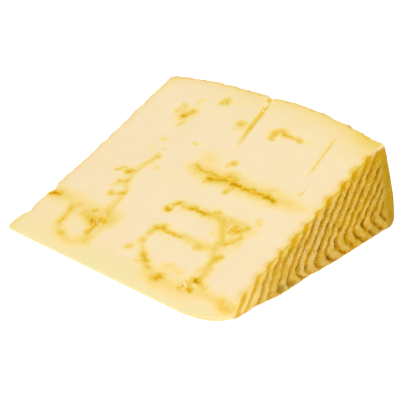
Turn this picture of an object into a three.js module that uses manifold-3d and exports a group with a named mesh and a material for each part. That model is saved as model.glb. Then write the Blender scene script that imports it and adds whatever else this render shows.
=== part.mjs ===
// Wedge of a small natural-rind cheese wheel, lying on one of its two cut faces.
// Millimetres, +Z up. The wheel's own axis lies along Y, so the wheel's two flat
// ends (plaited-mat imprint) are the -Y and +Y sides of the wedge and its barrel
// rim is the +X side. The thin edge of the wedge, where the two cuts meet, is at -X.
import * as THREE from 'three';
import { mergeVertices } from 'three/addons/utils/BufferGeometryUtils.js';
import Module from 'manifold-3d';

// ---- driving dimensions (mm, degrees) ----
const WHEEL_HEIGHT = 108.5;        // distance between the wheel's flat ends, along Y
const WHEEL_RADIUS = 100;          // rim radius beside an end, at the upper cut
const RADIUS_SPREAD = 7;           // the rim has slumped outwards by this much at the lower cut
const BARREL_BULGE = 5.7;          // the rim swells by this much half way between the ends, upper cut
const BARREL_BULGE_LOW = 2.8;      // the same at the lower cut
const WEDGE_ANGLE = 23.2;          // between the two cuts
const TIP_THICKNESS = 0.8;         // the thin edge is blunt
const SHOULDER_HIGH = 1.8;         // rounding from end to rim, at the upper cut
const SHOULDER_LOW = 6.5;          // rounding from end to rim, at the lower cut
const NEAR_TIP_ROUND = [9.5, 17];  // worn corner of the thin edge at the -Y end, along X and Y
const FAR_TIP_ROUND = [2.5, 2.5];  // the same at the +Y end
const MAT_PITCH = 6.0;             // ridge spacing of the mat imprint, along X
const MAT_DEPTH = 0.9;             // crest to valley
const MAT_SLOPE = 61;              // degrees from the base, long arm of each chevron
const MAT_FOLD_RUN = 1.35;         // short arm: run along X for each unit of drop
const MAT_FOLD_Z = [3, 0.07];      // height of the fold: constant, and per unit of x
const BAND_PITCH = 9;              // zigzag of the plaited band round the rim
const BAND_DEPTH = 0.7;

const NX = 84, NY = 34, NZ = 26;   // net of the moulded surface
const INNER = -6, LOW = -4, HIGH = 49;

const half = WHEEL_HEIGHT / 2;
const theta = THREE.MathUtils.degToRad(WEDGE_ANGLE);
const smooth = (a, b, v) => THREE.MathUtils.smoothstep(v, a, b);
const wave = (phase) => 0.5 - 0.5 * Math.cos(2 * Math.PI * phase);

// rim radius at height z and place y along the wheel's axis
function rimRadius(y, z) {
  const low = THREE.MathUtils.clamp(1 - Math.atan2(z, WHEEL_RADIUS) / theta, 0, 1);
  const bulge = THREE.MathUtils.lerp(BARREL_BULGE, BARREL_BULGE_LOW, low);
  const shoulder = THREE.MathUtils.lerp(SHOULDER_HIGH, SHOULDER_LOW, low);
  const t = y / half;
  let r = WHEEL_RADIUS + RADIUS_SPREAD * low + bulge * (1 - t * t);
  const d = half - Math.abs(y);
  if (d < shoulder) r -= shoulder - Math.sqrt(shoulder ** 2 - (shoulder - d) ** 2);
  return r;
}

// chevron imprint of the mat on a flat end, as a depth below the crests
function endDepth(x, z, shift) {
  const fold = MAT_FOLD_Z[0] + MAT_FOLD_Z[1] * x;
  const run = z > fold
    ? (z - fold) / Math.tan(THREE.MathUtils.degToRad(MAT_SLOPE))
    : (fold - z) * MAT_FOLD_RUN;
  const fade = smooth(2, 12, x) * (1 - smooth(WHEEL_RADIUS - 10, WHEEL_RADIUS - 3, x - 0.1 * (20 - z)));
  return MAT_DEPTH * fade * wave((x - run) / MAT_PITCH + shift);
}

// zigzag imprint of the plaited band round the rim
function bandDepth(y, z) {
  const fade = 1 - smooth(half - 14, half - 6, Math.abs(y));
  const zig = Math.abs(((y / 18) % 1 + 1) % 1 - 0.5) * 18;
  return BAND_DEPTH * fade * wave((z + zig) / BAND_PITCH);
}

// moulded body of the wheel around this wedge, larger than the wedge at the cuts
function wheelBlock() {
  const g = new THREE.BoxGeometry(1, 1, 1, NX, NY, NZ);
  const p = g.attributes.position;
  for (let i = 0; i < p.count; i++) {
    const s = p.getX(i) + 0.5, t = 2 * p.getY(i), w = p.getZ(i) + 0.5;
    const z = LOW + w * (HIGH - LOW);
    let y = half * Math.sin(t * Math.PI / 2);
    const r = rimRadius(y, z) - (s > 0.999 ? bandDepth(y, z) : 0);
    const x = INNER + s * (Math.sqrt(r * r - z * z) - INNER);
    if (t > 0.999) y -= endDepth(x, z, 0.3);
    if (t < -0.999) y += endDepth(x, z, 0);
    p.setXYZ(i, x, y, z);
  }
  return g;
}

// the two knife cuts, as a prism along Y
function wedgePrism() {
  const reach = 125;
  const x1 = WHEEL_RADIUS * Math.cos(theta), z1 = WHEEL_RADIUS * Math.sin(theta);
  const top = TIP_THICKNESS + (z1 - TIP_THICKNESS) * reach / x1;
  const s = new THREE.Shape();
  s.moveTo(0, 0);
  s.lineTo(reach, 0);
  s.lineTo(reach, top);
  s.lineTo(0, TIP_THICKNESS);
  s.closePath();
  const g = new THREE.ExtrudeGeometry(s, { depth: 160, bevelEnabled: false });
  g.translate(0, 0, -80);
  g.rotateX(Math.PI / 2);
  return g;
}

// outline seen from above, with the worn corners of the thin edge
function planform() {
  const y0 = -half - 5, y1 = half + 5, yn = -half, yf = half;
  const s = new THREE.Shape();
  s.moveTo(130, y0);
  s.lineTo(130, y1);
  s.lineTo(FAR_TIP_ROUND[0], y1);
  s.lineTo(FAR_TIP_ROUND[0], yf);
  s.absellipse(FAR_TIP_ROUND[0], yf - FAR_TIP_ROUND[1], FAR_TIP_ROUND[0], FAR_TIP_ROUND[1], Math.PI / 2, Math.PI, false);
  s.absellipse(NEAR_TIP_ROUND[0], yn + NEAR_TIP_ROUND[1], NEAR_TIP_ROUND[0], NEAR_TIP_ROUND[1], Math.PI, 1.5 * Math.PI, false);
  s.lineTo(NEAR_TIP_ROUND[0], y0);
  s.closePath();
  const g = new THREE.ExtrudeGeometry(s, { depth: 80, bevelEnabled: false, curveSegments: 12 });
  g.translate(0, 0, -20);
  return g;
}

const wasm = await Module();
wasm.setup();

function solid(geometry) {
  const g = geometry.clone();
  g.deleteAttribute('normal');
  g.deleteAttribute('uv');
  const m = mergeVertices(g, 1e-4);
  return new wasm.Manifold(new wasm.Mesh({
    numProp: 3,
    vertProperties: new Float32Array(m.attributes.position.array),
    triVerts: new Uint32Array(m.index.array),
  }));
}

function geometryOf(manifold) {
  const m = manifold.getMesh();
  const g = new THREE.BufferGeometry();
  g.setAttribute('position', new THREE.BufferAttribute(new Float32Array(m.vertProperties), 3));
  g.setIndex(new THREE.BufferAttribute(new Uint32Array(m.triVerts), 1));
  g.computeVertexNormals();
  return g;
}

const body = solid(wheelBlock()).intersect(solid(wedgePrism())).intersect(solid(planform()));
const geometry = geometryOf(body);

// origin under the middle of the wedge, on the surface it rests on
geometry.computeBoundingBox();
const b = geometry.boundingBox;
geometry.translate(-(b.min.x + b.max.x) / 2, -(b.min.y + b.max.y) / 2, -b.min.z);

const wedge = new THREE.Mesh(geometry, new THREE.MeshStandardMaterial({
  color: new THREE.Color().setRGB(0.93, 0.83, 0.58, THREE.SRGBColorSpace),
  roughness: 0.55,
  metalness: 0,
}));
wedge.name = 'cheese_wedge';

const group = new THREE.Group();
group.add(wedge);

export default group;
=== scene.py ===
"""Wedge of firm veined cheese with a natural rind, lying on a cut face.

One closed mesh stands for the CAD node. It is made of three patches that share
their borders: the upper cut face, the lower cut face, and the side ring (mat-marked
end, rim, far end, blunt thin edge). All working dimensions are millimetres in the
wheel's own frame (x from the thin edge, y along the wheel's axis, z up), moved into
the row frame and scaled to metres at the end.
"""
import math

import bpy
import numpy as np
from mathutils import Matrix, Vector
from mathutils.geometry import delaunay_2d_cdt


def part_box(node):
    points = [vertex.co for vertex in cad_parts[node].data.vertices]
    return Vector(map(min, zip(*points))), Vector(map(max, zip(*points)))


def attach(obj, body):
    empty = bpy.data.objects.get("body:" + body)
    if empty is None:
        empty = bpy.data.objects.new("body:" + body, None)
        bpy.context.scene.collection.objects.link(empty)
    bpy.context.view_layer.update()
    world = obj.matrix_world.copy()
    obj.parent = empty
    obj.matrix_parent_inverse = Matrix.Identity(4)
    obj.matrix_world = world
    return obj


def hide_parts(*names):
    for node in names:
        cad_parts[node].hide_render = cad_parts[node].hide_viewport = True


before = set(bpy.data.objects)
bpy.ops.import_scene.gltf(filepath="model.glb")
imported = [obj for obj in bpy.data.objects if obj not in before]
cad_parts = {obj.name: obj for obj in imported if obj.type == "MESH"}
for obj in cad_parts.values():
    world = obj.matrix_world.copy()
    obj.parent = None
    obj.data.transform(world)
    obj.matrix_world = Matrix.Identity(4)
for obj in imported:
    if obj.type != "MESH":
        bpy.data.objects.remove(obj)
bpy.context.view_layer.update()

# ------------------------------------------------------------------ dimensions
BOX_LO, BOX_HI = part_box("cheese_wedge")
XS = BOX_LO.x * 1000.0            # wheel frame x=0 (thin edge) sits here in the row frame
H = 108.5                         # between the wheel's two flat ends
HALF = H / 2
R0 = 100.0
THETA = math.radians(23.2)
TIP = 0.8
X1, Z1 = R0 * math.cos(THETA), R0 * math.sin(THETA)
SLOPE = (Z1 - TIP) / X1
CUT_N = np.array([-math.sin(math.atan(SLOPE)), 0.0, math.cos(math.atan(SLOPE))])
NEAR_TIP = (9.5, 17.0)
FAR_TIP = (2.0, 2.0)
EDGE = 0.32                       # softened arris between a cut and the rind

# ------------------------------------------------------------------ noise
_rng = np.random.default_rng(41)
PERM = _rng.permutation(256)
_g = _rng.normal(size=(256, 3))
GRAD = _g / np.linalg.norm(_g, axis=1)[:, None]


def noise(p, scale, seed=0):
    """Gradient noise, about -1..1, at points p (N,3) in mm."""
    q = np.asarray(p, float) / scale + np.array([seed * 17.13, seed * 5.71, seed * 9.37])
    i = np.floor(q).astype(int)
    f = q - i
    u = f * f * f * (f * (f * 6 - 15) + 10)
    out = 0.0
    for dx in (0, 1):
        wx = u[:, 0] if dx else 1 - u[:, 0]
        for dy in (0, 1):
            wy = u[:, 1] if dy else 1 - u[:, 1]
            for dz in (0, 1):
                wz = u[:, 2] if dz else 1 - u[:, 2]
                h = PERM[(PERM[(PERM[(i[:, 0] + dx) & 255] + i[:, 1] + dy) & 255] + i[:, 2] + dz) & 255]
                g = GRAD[h]
                d = g[:, 0] * (f[:, 0] - dx) + g[:, 1] * (f[:, 1] - dy) + g[:, 2] * (f[:, 2] - dz)
                out = out + wx * wy * wz * d
    return out * 1.6


def fbm(p, scale, octaves=3, seed=0, gain=0.5):
    out, a, s = 0.0, 1.0, scale
    for k in range(octaves):
        out = out + a * noise(p, s, seed + k * 3)
        a *= gain
        s *= 0.5
    return out


def smooth(a, b, v):
    t = np.clip((np.asarray(v, float) - a) / (b - a), 0, 1)
    return t * t * (3 - 2 * t)


def lerp(a, b, t):
    return a + (b - a) * t


# ------------------------------------------------------------------ wheel surface
def low_of(z):
    return np.clip(1 - np.arctan2(z, R0) / THETA, 0, 1)


def shoulder_r(z):
    return lerp(1.8, 6.5, low_of(z))


# small unevenness of the rim as the upper cut shows it: (y, outwards)
RIM_Y = [-54, -52, -50, -48, -46, -44, -42, -40, -39, -37.5, -36, -34.5, -32, -27, -23.5, -21, -19, -14, -11, -6, -1, 1, 2.2, 3.4, 4.6, 6, 9, 14, 17, 20, 27, 30, 32, 36, 40, 44, 46.5, 49, 54]
RIM_D = [0.1, -0.3, -0.65, -0.97, -0.95, -0.82, -0.85, -0.58, -0.45, 0.2, 0.47, 0.05, 0.0, 0.6, 1.0, 0.7, 0.85, 0.8, 1.15, 0.7, 0.4, 0.2, -0.6, -0.9, -0.5, 0.3, 0.45, 0.3, 0.5, 0.7, 0.85, 1.1, 1.2, 1.1, 0.9, 0.65, 0.95, 0.9, 0.5]
# the rim swells a little towards the near end, more at the foot: (height, outwards)
SWELL_Z = [0, 14, 19, 24, 29, 33, 38, 42]
SWELL_D = [1.35, 1.45, 1.0, 0.7, 0.8, 1.1, 1.0, 0.7]


def rim_x(y, z):
    """x of the rim without its shoulders."""
    low = low_of(z)
    t = np.clip(y / HALF, -1, 1)
    r = R0 + 7.0 * low + lerp(5.7, 2.8, low) * (1 - t * t)
    r = r + np.interp(y, RIM_Y, RIM_D) * smooth(18, 36, z)
    r = r + np.interp(z, SWELL_Z, SWELL_D) * smooth(-30, -50, y)
    return np.sqrt(r * r - z * z)


# outline of the far end at the upper cut: (distance from the thin edge, outwards of HALF)
FAR_X = [0, 3, 6, 8, 9.3, 10.5, 13, 18, 20.5, 22, 23.2, 24.5, 26, 28, 30.5, 33, 36, 45, 52, 55, 57, 60, 66, 72, 74.5, 76.5, 79, 81, 84, 90, 94]
FAR_E = ([0, 6, 10, 14, 22, 26, 30, 34, 38, 42, 46, 50, 53, 58, 62, 66, 70, 74, 78, 82, 86, 90, 96], [0.1, 0.1, 0.9, 0.6, 0.6, 0.3, -0.1, 0.1, 0.3, 0.1, 0.4, 0.7, 0.0, 0.1, 0.8, 0.9, 1.4, 0.6, 0.1, 0.8, 1.4, 1.3, 1.2])
FAR_D = [1.6, 1.6, 1.2, 0.5, -0.9, -1.5, -0.3, -0.3, -0.6, -1.2, -1.6, -0.7, 0.1, 0.3, 0.4, 0.1, -0.3, -0.5, -0.4, 0.2, 0.1, -0.5, -0.4, -0.2, 0.2, 1.0, 1.05, 0.4, -0.1, 0.1, 0.3]

# valleys of the mat imprint on the near end, each as x at heights z
VALLEYS = [
    [(9.6, 0), (11, 1.5), (12.6, 3), (14.4, 5.2), (15.2, 7), (17, 10), (22, 20), (33, 42)],
    [(14.2, 0), (15.8, 1.6), (18.2, 3.6), (20.2, 5.6), (21.4, 7.6), (22.6, 10), (28, 20), (40, 42)],
    [(21.2, 0), (22.6, 1.5), (24.2, 3.6), (25.2, 5.6), (26.3, 8), (27.6, 10.2), (29.2, 12.6), (34, 21), (46, 42)],
    [(26.6, 0), (27.3, 1.6), (28.6, 4), (30.2, 7), (31.4, 9.4), (32.4, 11.2), (33.6, 13.2), (34.6, 15.4), (38, 21), (51, 42)],
    [(33.6, 0), (32.2, 1.4), (32.3, 3), (33.6, 5.4), (35.2, 8), (36.5, 10), (37.2, 11.2), (38.6, 12.8), (40.4, 14.8), (41.6, 16.8), (42.6, 18.8), (45, 23), (56, 42)],
    [(40.4, 0), (38.2, 1.4), (37.6, 2.6), (38.4, 4.6), (40.2, 7), (42.2, 9.8), (43.5, 12), (44.4, 14.2), (45.7, 16.2), (47.4, 18), (48.4, 20.6), (50, 24), (61, 42)],
    [(47.6, 0), (44.8, 2.2), (43.1, 4.2), (42.9, 5.6), (44.2, 7.6), (46.2, 10.4), (48.3, 13.4), (50, 16.2), (52, 18.9), (53.3, 21.4), (54.4, 23.6), (57, 28), (66, 42)],
    [(51.6, 0), (49.4, 2), (48.3, 3.8), (48.0, 5.4), (49.2, 7), (51, 9.2), (52.5, 11), (54, 13.6), (55.3, 15.4), (57, 18), (58.3, 20), (59.8, 22.4), (60.8, 24.4), (63, 28), (71, 42)],
    [(58.4, 0), (55.4, 2.2), (54, 3.8), (53.8, 5), (55.6, 7.2), (57.4, 9.6), (59, 12.4), (60.4, 15), (61.8, 18), (63.6, 21.4), (65.6, 24), (67.4, 26.4), (69, 28.8), (69.9, 31.4), (71, 34), (75, 42)],
    [(65.4, 0), (62.4, 2.4), (60.6, 4.6), (60.3, 6.2), (61.4, 8.4), (62.8, 11), (64.2, 13.6), (65.8, 16.4), (67.6, 18.6), (69.4, 21), (70.8, 23.6), (72.4, 26), (74.2, 28.8), (75.8, 31.2), (76.9, 33.4), (79, 37), (82, 43)],
    [(73.4, 0), (69.6, 2.8), (67.2, 4.7), (65.8, 6.4), (65.5, 8), (66.2, 9.4), (67.8, 11), (69.6, 12.8), (70.8, 14.6), (72, 16.8), (73.4, 18.8), (75, 20.8), (76.4, 23.2), (78.2, 26), (79.8, 28.6), (81.2, 31), (83, 34), (87, 42)],
    [(78.6, 0), (75.6, 2.8), (73.4, 4.9), (72.2, 6.6), (71.9, 8.2), (72.8, 9.8), (74.2, 11.4), (75.2, 13.2), (76.4, 15.6), (78, 18), (79.6, 20), (81.2, 22.4), (83, 25.6), (84.6, 28.2), (86.4, 31), (88.4, 34), (92, 42)],
    [(85.8, 0), (81.6, 3.2), (79.4, 5.3), (77.6, 7.2), (76.9, 8.9), (77.8, 10.4), (79.2, 12.3), (80.8, 14.6), (82.8, 16.8), (84.8, 18.9), (86.2, 21.2), (88, 23.6), (89.4, 25.8), (91.2, 28.8), (94, 33), (98, 42)],
    [(92.4, 0), (88.2, 3.4), (85.4, 5.7), (83.2, 7.6), (82.2, 9.4), (83.4, 11), (85.2, 12.8), (86.4, 15), (88, 17.2), (89.6, 19.2), (91.4, 21.4), (93, 24), (95, 27.6), (98, 33), (103, 42)],
    [(98.4, 0), (94.6, 3.1), (92, 5.2), (90.2, 7.2), (88.8, 9.3), (89.4, 11), (90.8, 12.8), (91.8, 14.8), (93.2, 17.2), (94.6, 19.6), (96.6, 23), (99, 28), (102, 33), (108, 42)],
    [(104.5, 0), (101, 3), (98, 5.4), (95.8, 7.6), (94.9, 9.6), (95.4, 12), (96.4, 14.6), (97.8, 17.6), (100, 22), (103, 28), (106, 33), (113, 42)],
]


def valley_lines(z):
    """x of every valley at each height: (N, lines)."""
    cols = [np.interp(z, [p[1] for p in v], [p[0] for p in v]) for v in VALLEYS]
    return np.stack(cols, 1)


def trough(d, p, seed):
    """Cross-section of the imprint at phase distance d from a trough: (dark line, wide golden trough)."""
    line = np.exp(-((d + 0.07 * noise(p, 3.0, seed + 40)) / (0.10 + 0.05 * noise(p, 3.0, seed))) ** 2)
    line = line * (0.30 + 0.70 * smooth(-0.35, 0.30, noise(p * np.array([1.0, 1.0, 0.6]), 2.4, seed + 42)))
    wide = 1 - smooth(0.10, 0.36, np.abs(d) + 0.10 * noise(p, 2.2, seed + 41) + 0.06 * noise(p, 0.9, seed + 43))
    return np.stack([line, wide], 1)


def near_marks(x, z, p):
    """Near end: (valley 0..1, running count across the ridges, strength of the imprint)."""
    warp = 0.45 * noise(p, 3.4, 2) + 0.30 * noise(p, 1.4, 3) + 0.14 * noise(p, 0.7, 4)
    lines = valley_lines(z + 0.6 * noise(p, 4.0, 5) + 0.3 * noise(p, 1.6, 6))
    xx = x + warp
    gaps = np.diff(lines, axis=1)
    phase = np.clip((xx[:, None] - lines[:, :-1]) / gaps, 0, 1).sum(1)
    phase = phase + np.minimum(xx - lines[:, 0], 0) / 5.5
    phase = phase + np.maximum(xx - lines[:, -1], 0) / 5.5
    d = phase - np.round(phase)
    fade = smooth(5.5, 9.5, x) * (1 - smooth(0.0, 4.5, x - (98.0 - 0.27 * z + 0.6 * noise(p, 6, 9))))
    return trough(d, p, 7), phase, fade


def proc_marks(x, z, p, seed):
    """Far end: the same mat, laid the other way round."""
    fold = 24 - 0.05 * x + 1.2 * noise(p, 18, seed)
    run = np.where(z > fold, (z - fold) * 1.1, (fold - z) * 0.56)
    warp = 0.45 * noise(p, 4.0, seed + 1) + 0.9 * noise(p, 14.0, seed + 2)
    phase = (x - run + warp) / 5.9 + 0.35
    d = phase - np.round(phase)
    valley = trough(d, p, seed + 3)
    fade = smooth(6.0, 14.0, x) * (1 - smooth(0.0, 5.0, x - (98.0 - 0.27 * z + 0.8 * noise(p, 6, seed + 4))))
    return valley, phase, fade


def rim_marks(y, z, p):
    """Rim: plaited band, zigzag strands that cross from end to end."""
    warp = 0.5 * noise(p, 5.0, 31) + 0.9 * noise(p, 16.0, 32)
    zig = np.abs(np.mod(y / 19.0 + 0.25 + 0.03 * noise(p, 12, 33), 1.0) - 0.5) * 2
    phase = (z + warp + zig * 8.2) / 5.6
    d = phase - np.round(phase)
    valley = trough(d, p, 34)
    # the strand turns over at each fold, which leaves a short vertical pinch
    fold = np.abs(np.mod(y / 9.5 + 0.5, 1.0) - 0.5) * 9.5
    valley = np.maximum(valley * (0.75 + 0.25 * smooth(0, 1.2, fold))[:, None], 0.35 * np.exp(-(fold / 0.5) ** 2)[:, None])
    fade = 1 - smooth(HALF - 17, HALF - 8, np.abs(y) + 1.5 * noise(p, 8, 35))
    return valley, phase, fade


# ------------------------------------------------------------------ upper cut
def knife(x, y):
    """Long soft waves that the knife leaves."""
    p = np.stack([x * 0.55, y, np.zeros_like(x)], 1)
    return 0.22 * noise(p, 34, 51) + 0.10 * noise(p, 15, 52) + 0.035 * noise(p, 6, 53)


def ztop(x, y):
    """Upper cut face without its cracks, and with the worn near corner of the thin edge."""
    z = TIP + SLOPE * x + knife(x, y) * smooth(0, 8, x)
    # worn corner: distance inside the rounded corner of the outline
    a, b = NEAR_TIP
    ex = np.clip((a - x) / a, 0, None)
    ey = np.clip((-HALF + b - y) / b, 0, None)
    inside = 1 - np.sqrt(ex * ex + ey * ey)
    worn = (ex > 0) & (ey > 0)
    k = np.where(worn, smooth(0, 0.42, inside), 1.0)
    z = np.where(worn, 0.9 + (z - 0.9) * (0.45 + 0.55 * k), z)
    # the outer near corner has slumped slightly
    return z - 2.1 * smooth(-40, -54, y) * smooth(82, 98, x)


# ------------------------------------------------------------------ side ring
# nominal run of each stretch of the ring, in mm
LEN = [88.0, 8.0, 97.0, 8.0, 95.0, 4.0, 89.5, 21.5]
CUM = np.concatenate([[0], np.cumsum(LEN)])
TOTAL = CUM[-1]


FOOT_X = [4, 12, 20, 28, 33, 37, 44, 51, 56, 68, 72, 80, 92, 98, 104]
FOOT_D = [0.6, 1.2, 0.6, 1.3, 1.9, 1.5, 1.1, 0.4, 0.8, 0.6, 0.4, 0.3, 0.3, 0.2, 0.2]


def ring_base(U, z):
    """Ring point without marks: x, y, outward normal (nx, ny), stretch number."""
    U = np.mod(U, TOTAL)
    k = np.clip(np.searchsorted(CUM, U, side="right") - 1, 0, 7)
    t = (U - CUM[k]) / np.array(LEN)[k]
    r = shoulder_r(z)
    x = np.zeros_like(U); y = np.zeros_like(U); nx = np.zeros_like(U); ny = np.zeros_like(U)
    # near end
    m = k == 0
    xs = rim_x(np.full_like(z, -HALF), z) - r
    x[m] = lerp(NEAR_TIP[0], xs[m], t[m]); y[m] = -HALF; ny[m] = -1
    # near shoulder
    m = k == 1
    al = t * math.pi / 2
    yy = -HALF + r * (1 - np.cos(al))
    x[m] = (rim_x(yy, z) - r * (1 - np.sin(al)))[m]; y[m] = yy[m]
    nx[m] = np.sin(al)[m]; ny[m] = -np.cos(al)[m]
    # rim
    m = k == 2
    yy = lerp(-HALF + r, HALF - r, t)
    x[m] = rim_x(yy, z)[m]; y[m] = yy[m]; nx[m] = 1
    # far shoulder
    m = k == 3
    yy = HALF - r * (1 - np.sin(al))
    x[m] = (rim_x(yy, z) - r * (1 - np.cos(al)))[m]; y[m] = yy[m]
    nx[m] = np.cos(al)[m]; ny[m] = np.sin(al)[m]
    # far end
    m = k == 4
    xs = rim_x(np.full_like(z, HALF), z) - r
    x[m] = lerp(xs[m], FAR_TIP[0], t[m]); y[m] = HALF; ny[m] = 1
    # far corner of the thin edge
    m = k == 5
    x[m] = (FAR_TIP[0] * (1 - np.sin(al)))[m]; y[m] = (HALF - FAR_TIP[1] * (1 - np.cos(al)))[m]
    nx[m] = -np.sin(al)[m]; ny[m] = np.cos(al)[m]
    # thin edge
    m = k == 6
    x[m] = 0; y[m] = lerp(HALF - FAR_TIP[1], -HALF + NEAR_TIP[1], t)[m]; nx[m] = -1
    # near corner of the thin edge
    m = k == 7
    x[m] = (NEAR_TIP[0] * (1 - np.cos(al)))[m]; y[m] = (-HALF + NEAR_TIP[1] * (1 - np.sin(al)))[m]
    n7x, n7y = -np.cos(al) / NEAR_TIP[0], -np.sin(al) / NEAR_TIP[1]
    l7 = np.hypot(n7x, n7y)
    nx[m] = (n7x / l7)[m]; ny[m] = (n7y / l7)[m]
    return x, y, nx, ny, k


def ring_marks(x, y, z, k, p):
    """(inward displacement, valley 0..1, imprint strength) of the moulded surface."""
    vn, pn, fn = near_marks(x, z, p)
    vf, pf, ff = proc_marks(x, z, p, 61)
    vr, pr_, fr = rim_marks(y, z, p)
    near, far, rim = (k == 0) | (k == 1), (k == 4) | (k == 3), k == 2
    valley = np.where(near[:, None], vn, np.where(far[:, None], vf, np.where(rim[:, None], vr, 0)))
    line, wide = valley[:, 0], valley[:, 1]
    sunk = 0.42 * line + 0.58 * wide
    fade = np.where(near, fn, np.where(far, ff, np.where(rim, fr, 0)))
    depth = np.where(rim, 0.80, 1.10)
    # strands of the mat lie across the ridges and leave short bars and knots
    fibre = noise(p * np.array([1.0, 1.0, 1.6]), 1.15, 71)
    knots = noise(p, 2.3, 72)
    crest = (1 - wide) * fade
    lumps = 0.16 * fibre + 0.14 * knots
    foot = smooth(0.0, 3.2, z)
    d = depth * sunk * fade * (0.85 + 0.3 * noise(p, 7.0, 73)) * (0.2 + 0.8 * foot) + crest * (-0.10) * foot + lumps * (0.35 + 0.65 * fade)
    # low swells, and the pores of the dried skin
    d = d + 0.25 * noise(p, 13, 74) * (1 - 0.4 * fade)
    pores = smooth(0.52, 0.78, noise(p, 1.9, 75)) * 0.35
    d = d + pores
    return d, line * fade, wide * fade, fade


def ring_point(U, v):
    """Ring surface at run U and height share v: positions (N,3) and painting masks."""
    z = v * 20.0
    for _ in range(6):
        x, y, nx, ny, k = ring_base(U, z)
        z = v * ztop(x, y)
    x, y, nx, ny, k = ring_base(U, z)
    p = np.stack([x, y, z], 1)
    d, valley, wide, fade = ring_marks(x, y, z, k, p)
    rind = np.where((k <= 4), 1.0, 0.0)
    rind = rind * np.where(k == 0, smooth(6.0, 10.0, x + 1.0 * noise(p, 3, 81)), 1.0)
    rind = rind * np.where(k == 4, smooth(2.0, 7.5, x + 1.4 * noise(p, 4, 82)), 1.0)
    d = d * np.where(k <= 4, 0.15 + 0.85 * rind, 0.12)
    d = d * np.where(k == 0, lerp(0.45, 1.0, smooth(9, 26, x)), 1.0)
    d = d * np.where((k == 3) | (k == 4), 0.35 + 0.65 * smooth(0.0, 6.0, ztop(x, y) - z), 1.0)
    # height of the side here and distance below its upper and above its lower edge
    zt = ztop(x, y)
    up, dn = zt - z, z
    soft = np.clip(zt / 4.0, 0.25, 1.0)
    d = d + EDGE * soft * np.clip(1 - up / (0.9 * soft), 0, 1) ** 2
    d = d + EDGE * soft * np.clip(1 - dn / (0.8 * soft), 0, 1) ** 2
    # the foot of the outer end has sagged round
    foot = smooth(70, 101, x) * np.where(y < 0, smooth(-20, -48, y), smooth(20, 48, y)) * (k <= 4)
    d = d + (0.25 * smooth(60, 98, x) + 1.1 * foot) * np.clip(1 - dn / 4.2, 0, 1) ** 2.2
    # outline of the far end, strongest at the upper cut
    far = np.where(k == 3, np.clip(ny, 0, 1), 0.0) + np.where((k == 4) | (k == 5), 1.0, 0.0)
    far = far + np.where(k == 6, smooth(HALF - 12, HALF - FAR_TIP[1], y), 0.0)
    out = (np.interp(x, FAR_X, FAR_D) + np.interp(x, *FAR_E)) * far * (0.35 + 0.65 * np.clip(1 - up / 14.0, 0, 1))
    # the near foot is not quite straight
    out = out - np.interp(x, FOOT_X, FOOT_D) * (k == 0) * np.clip(1 - dn / 9.0, 0, 1)
    out = out - np.interp(98.0, FOOT_X, FOOT_D) * (k == 1) * np.clip(-ny, 0, 1) * np.clip(1 - dn / 9.0, 0, 1)
    px = x - nx * d
    py = y - ny * d + out
    return np.stack([px, py, z], 1), dict(x=x, y=y, z=z, k=k, valley=valley, wide=wide, fade=fade, rind=rind, up=up, d=d)


# ------------------------------------------------------------------ marks of the paste
# Each: points (y, r) on the upper cut, half width, crack strength, halo radius, halo strength, tone, depth
# tone: 0 golden ochre, 1 olive brown
V = []


def mark(pts, w, c, hr=2.0, hs=0.0, tone=0.3, depth=None):
    V.append((np.array(pts, float), w, c, hr, hs, tone, 0.6 * (0.35 * c if depth is None else depth)))


# long vein
mark([(-40, 58.6), (-30, 58.4), (-18, 58.6), (-4, 58.4), (7, 59.5)], 0.2, 0.0, 3.4, 0.62, 0.6, 0)
mark([(-54, 58.5), (-40, 58.5)], 0.2, 0.0, 3.0, 0.16, 0.3, 0)
mark([(-34.8, 57.6), (-33, 57.9), (-31, 58.4), (-30, 57.8)], 0.75, 0.95, 2.2, 0.45, 0.85, 0.7)
mark([(-33.5, 58.9), (-31.2, 59.2)], 0.35, 0.6, 1.2, 0.2, 0.2, 0.2)
mark([(-29.2, 58.0), (-27.4, 58.4), (-25.6, 58.2)], 0.65, 0.8, 2.0, 0.4, 0.8, 0.5)
mark([(-25.4, 58.4), (-24, 59.2)], 0.45, 0.7, 1.4, 0.3, 0.2, 0.3)
mark([(-22.6, 58.2), (-21, 58.1), (-19, 57.8)], 0.6, 0.9, 1.8, 0.35, 0.55, 0.6)
mark([(-18.8, 58.8), (-17.6, 58.4)], 0.35, 0.6, 1.2, 0.2, 0.1, 0.3)
mark([(-17.4, 58.2), (-16, 58.3), (-14.2, 58.3)], 0.7, 0.95, 1.8, 0.4, 0.75, 0.7)
mark([(-14.6, 61.0), (-13, 60.4), (-11.2, 61.4), (-9.4, 61.2)], 0.6, 0.45, 1.8, 0.45, 0.1, 0.15)
mark([(-13.6, 60.2), (-12.4, 59.4)], 0.3, 0.5, 1.0, 0.2, 0.1, 0.1)
mark([(-11, 58.4), (-9.4, 58.6), (-8, 58.0)], 0.65, 0.8, 1.8, 0.4, 0.6, 0.5)
mark([(-7.4, 57.8), (-5.8, 57.2), (-4.4, 57.0), (-2.8, 56.6)], 0.85, 0.75, 2.4, 0.55, 0.85, 0.5)
mark([(-10, 59.8), (-6, 59.2), (-2, 59.4), (2, 59.1), (4.4, 59.6), (6.4, 60.6)], 0.38, 0.6, 1.6, 0.4, 0.15, 0.2)
mark([(-3.6, 57.4), (-2.6, 56.0), (-2.8, 55)], 0.4, 0.45, 1.4, 0.3, 0.7, 0.2)
mark([(-16, 57.2), (-15, 55.4), (-14.3, 53.8)], 0.35, 0.35, 1.2, 0.25, 0.5, 0.1)
mark([(-14.5, 53.8), (-14.0, 53.4)], 0.6, 0.65, 1.1, 0.3, 0.3, 0.3)
mark([(2.0, 57.6), (4.6, 57.2), (3.4, 55.0)], 0.5, 0.12, 1.6, 0.2, 0.3, 0)
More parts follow.
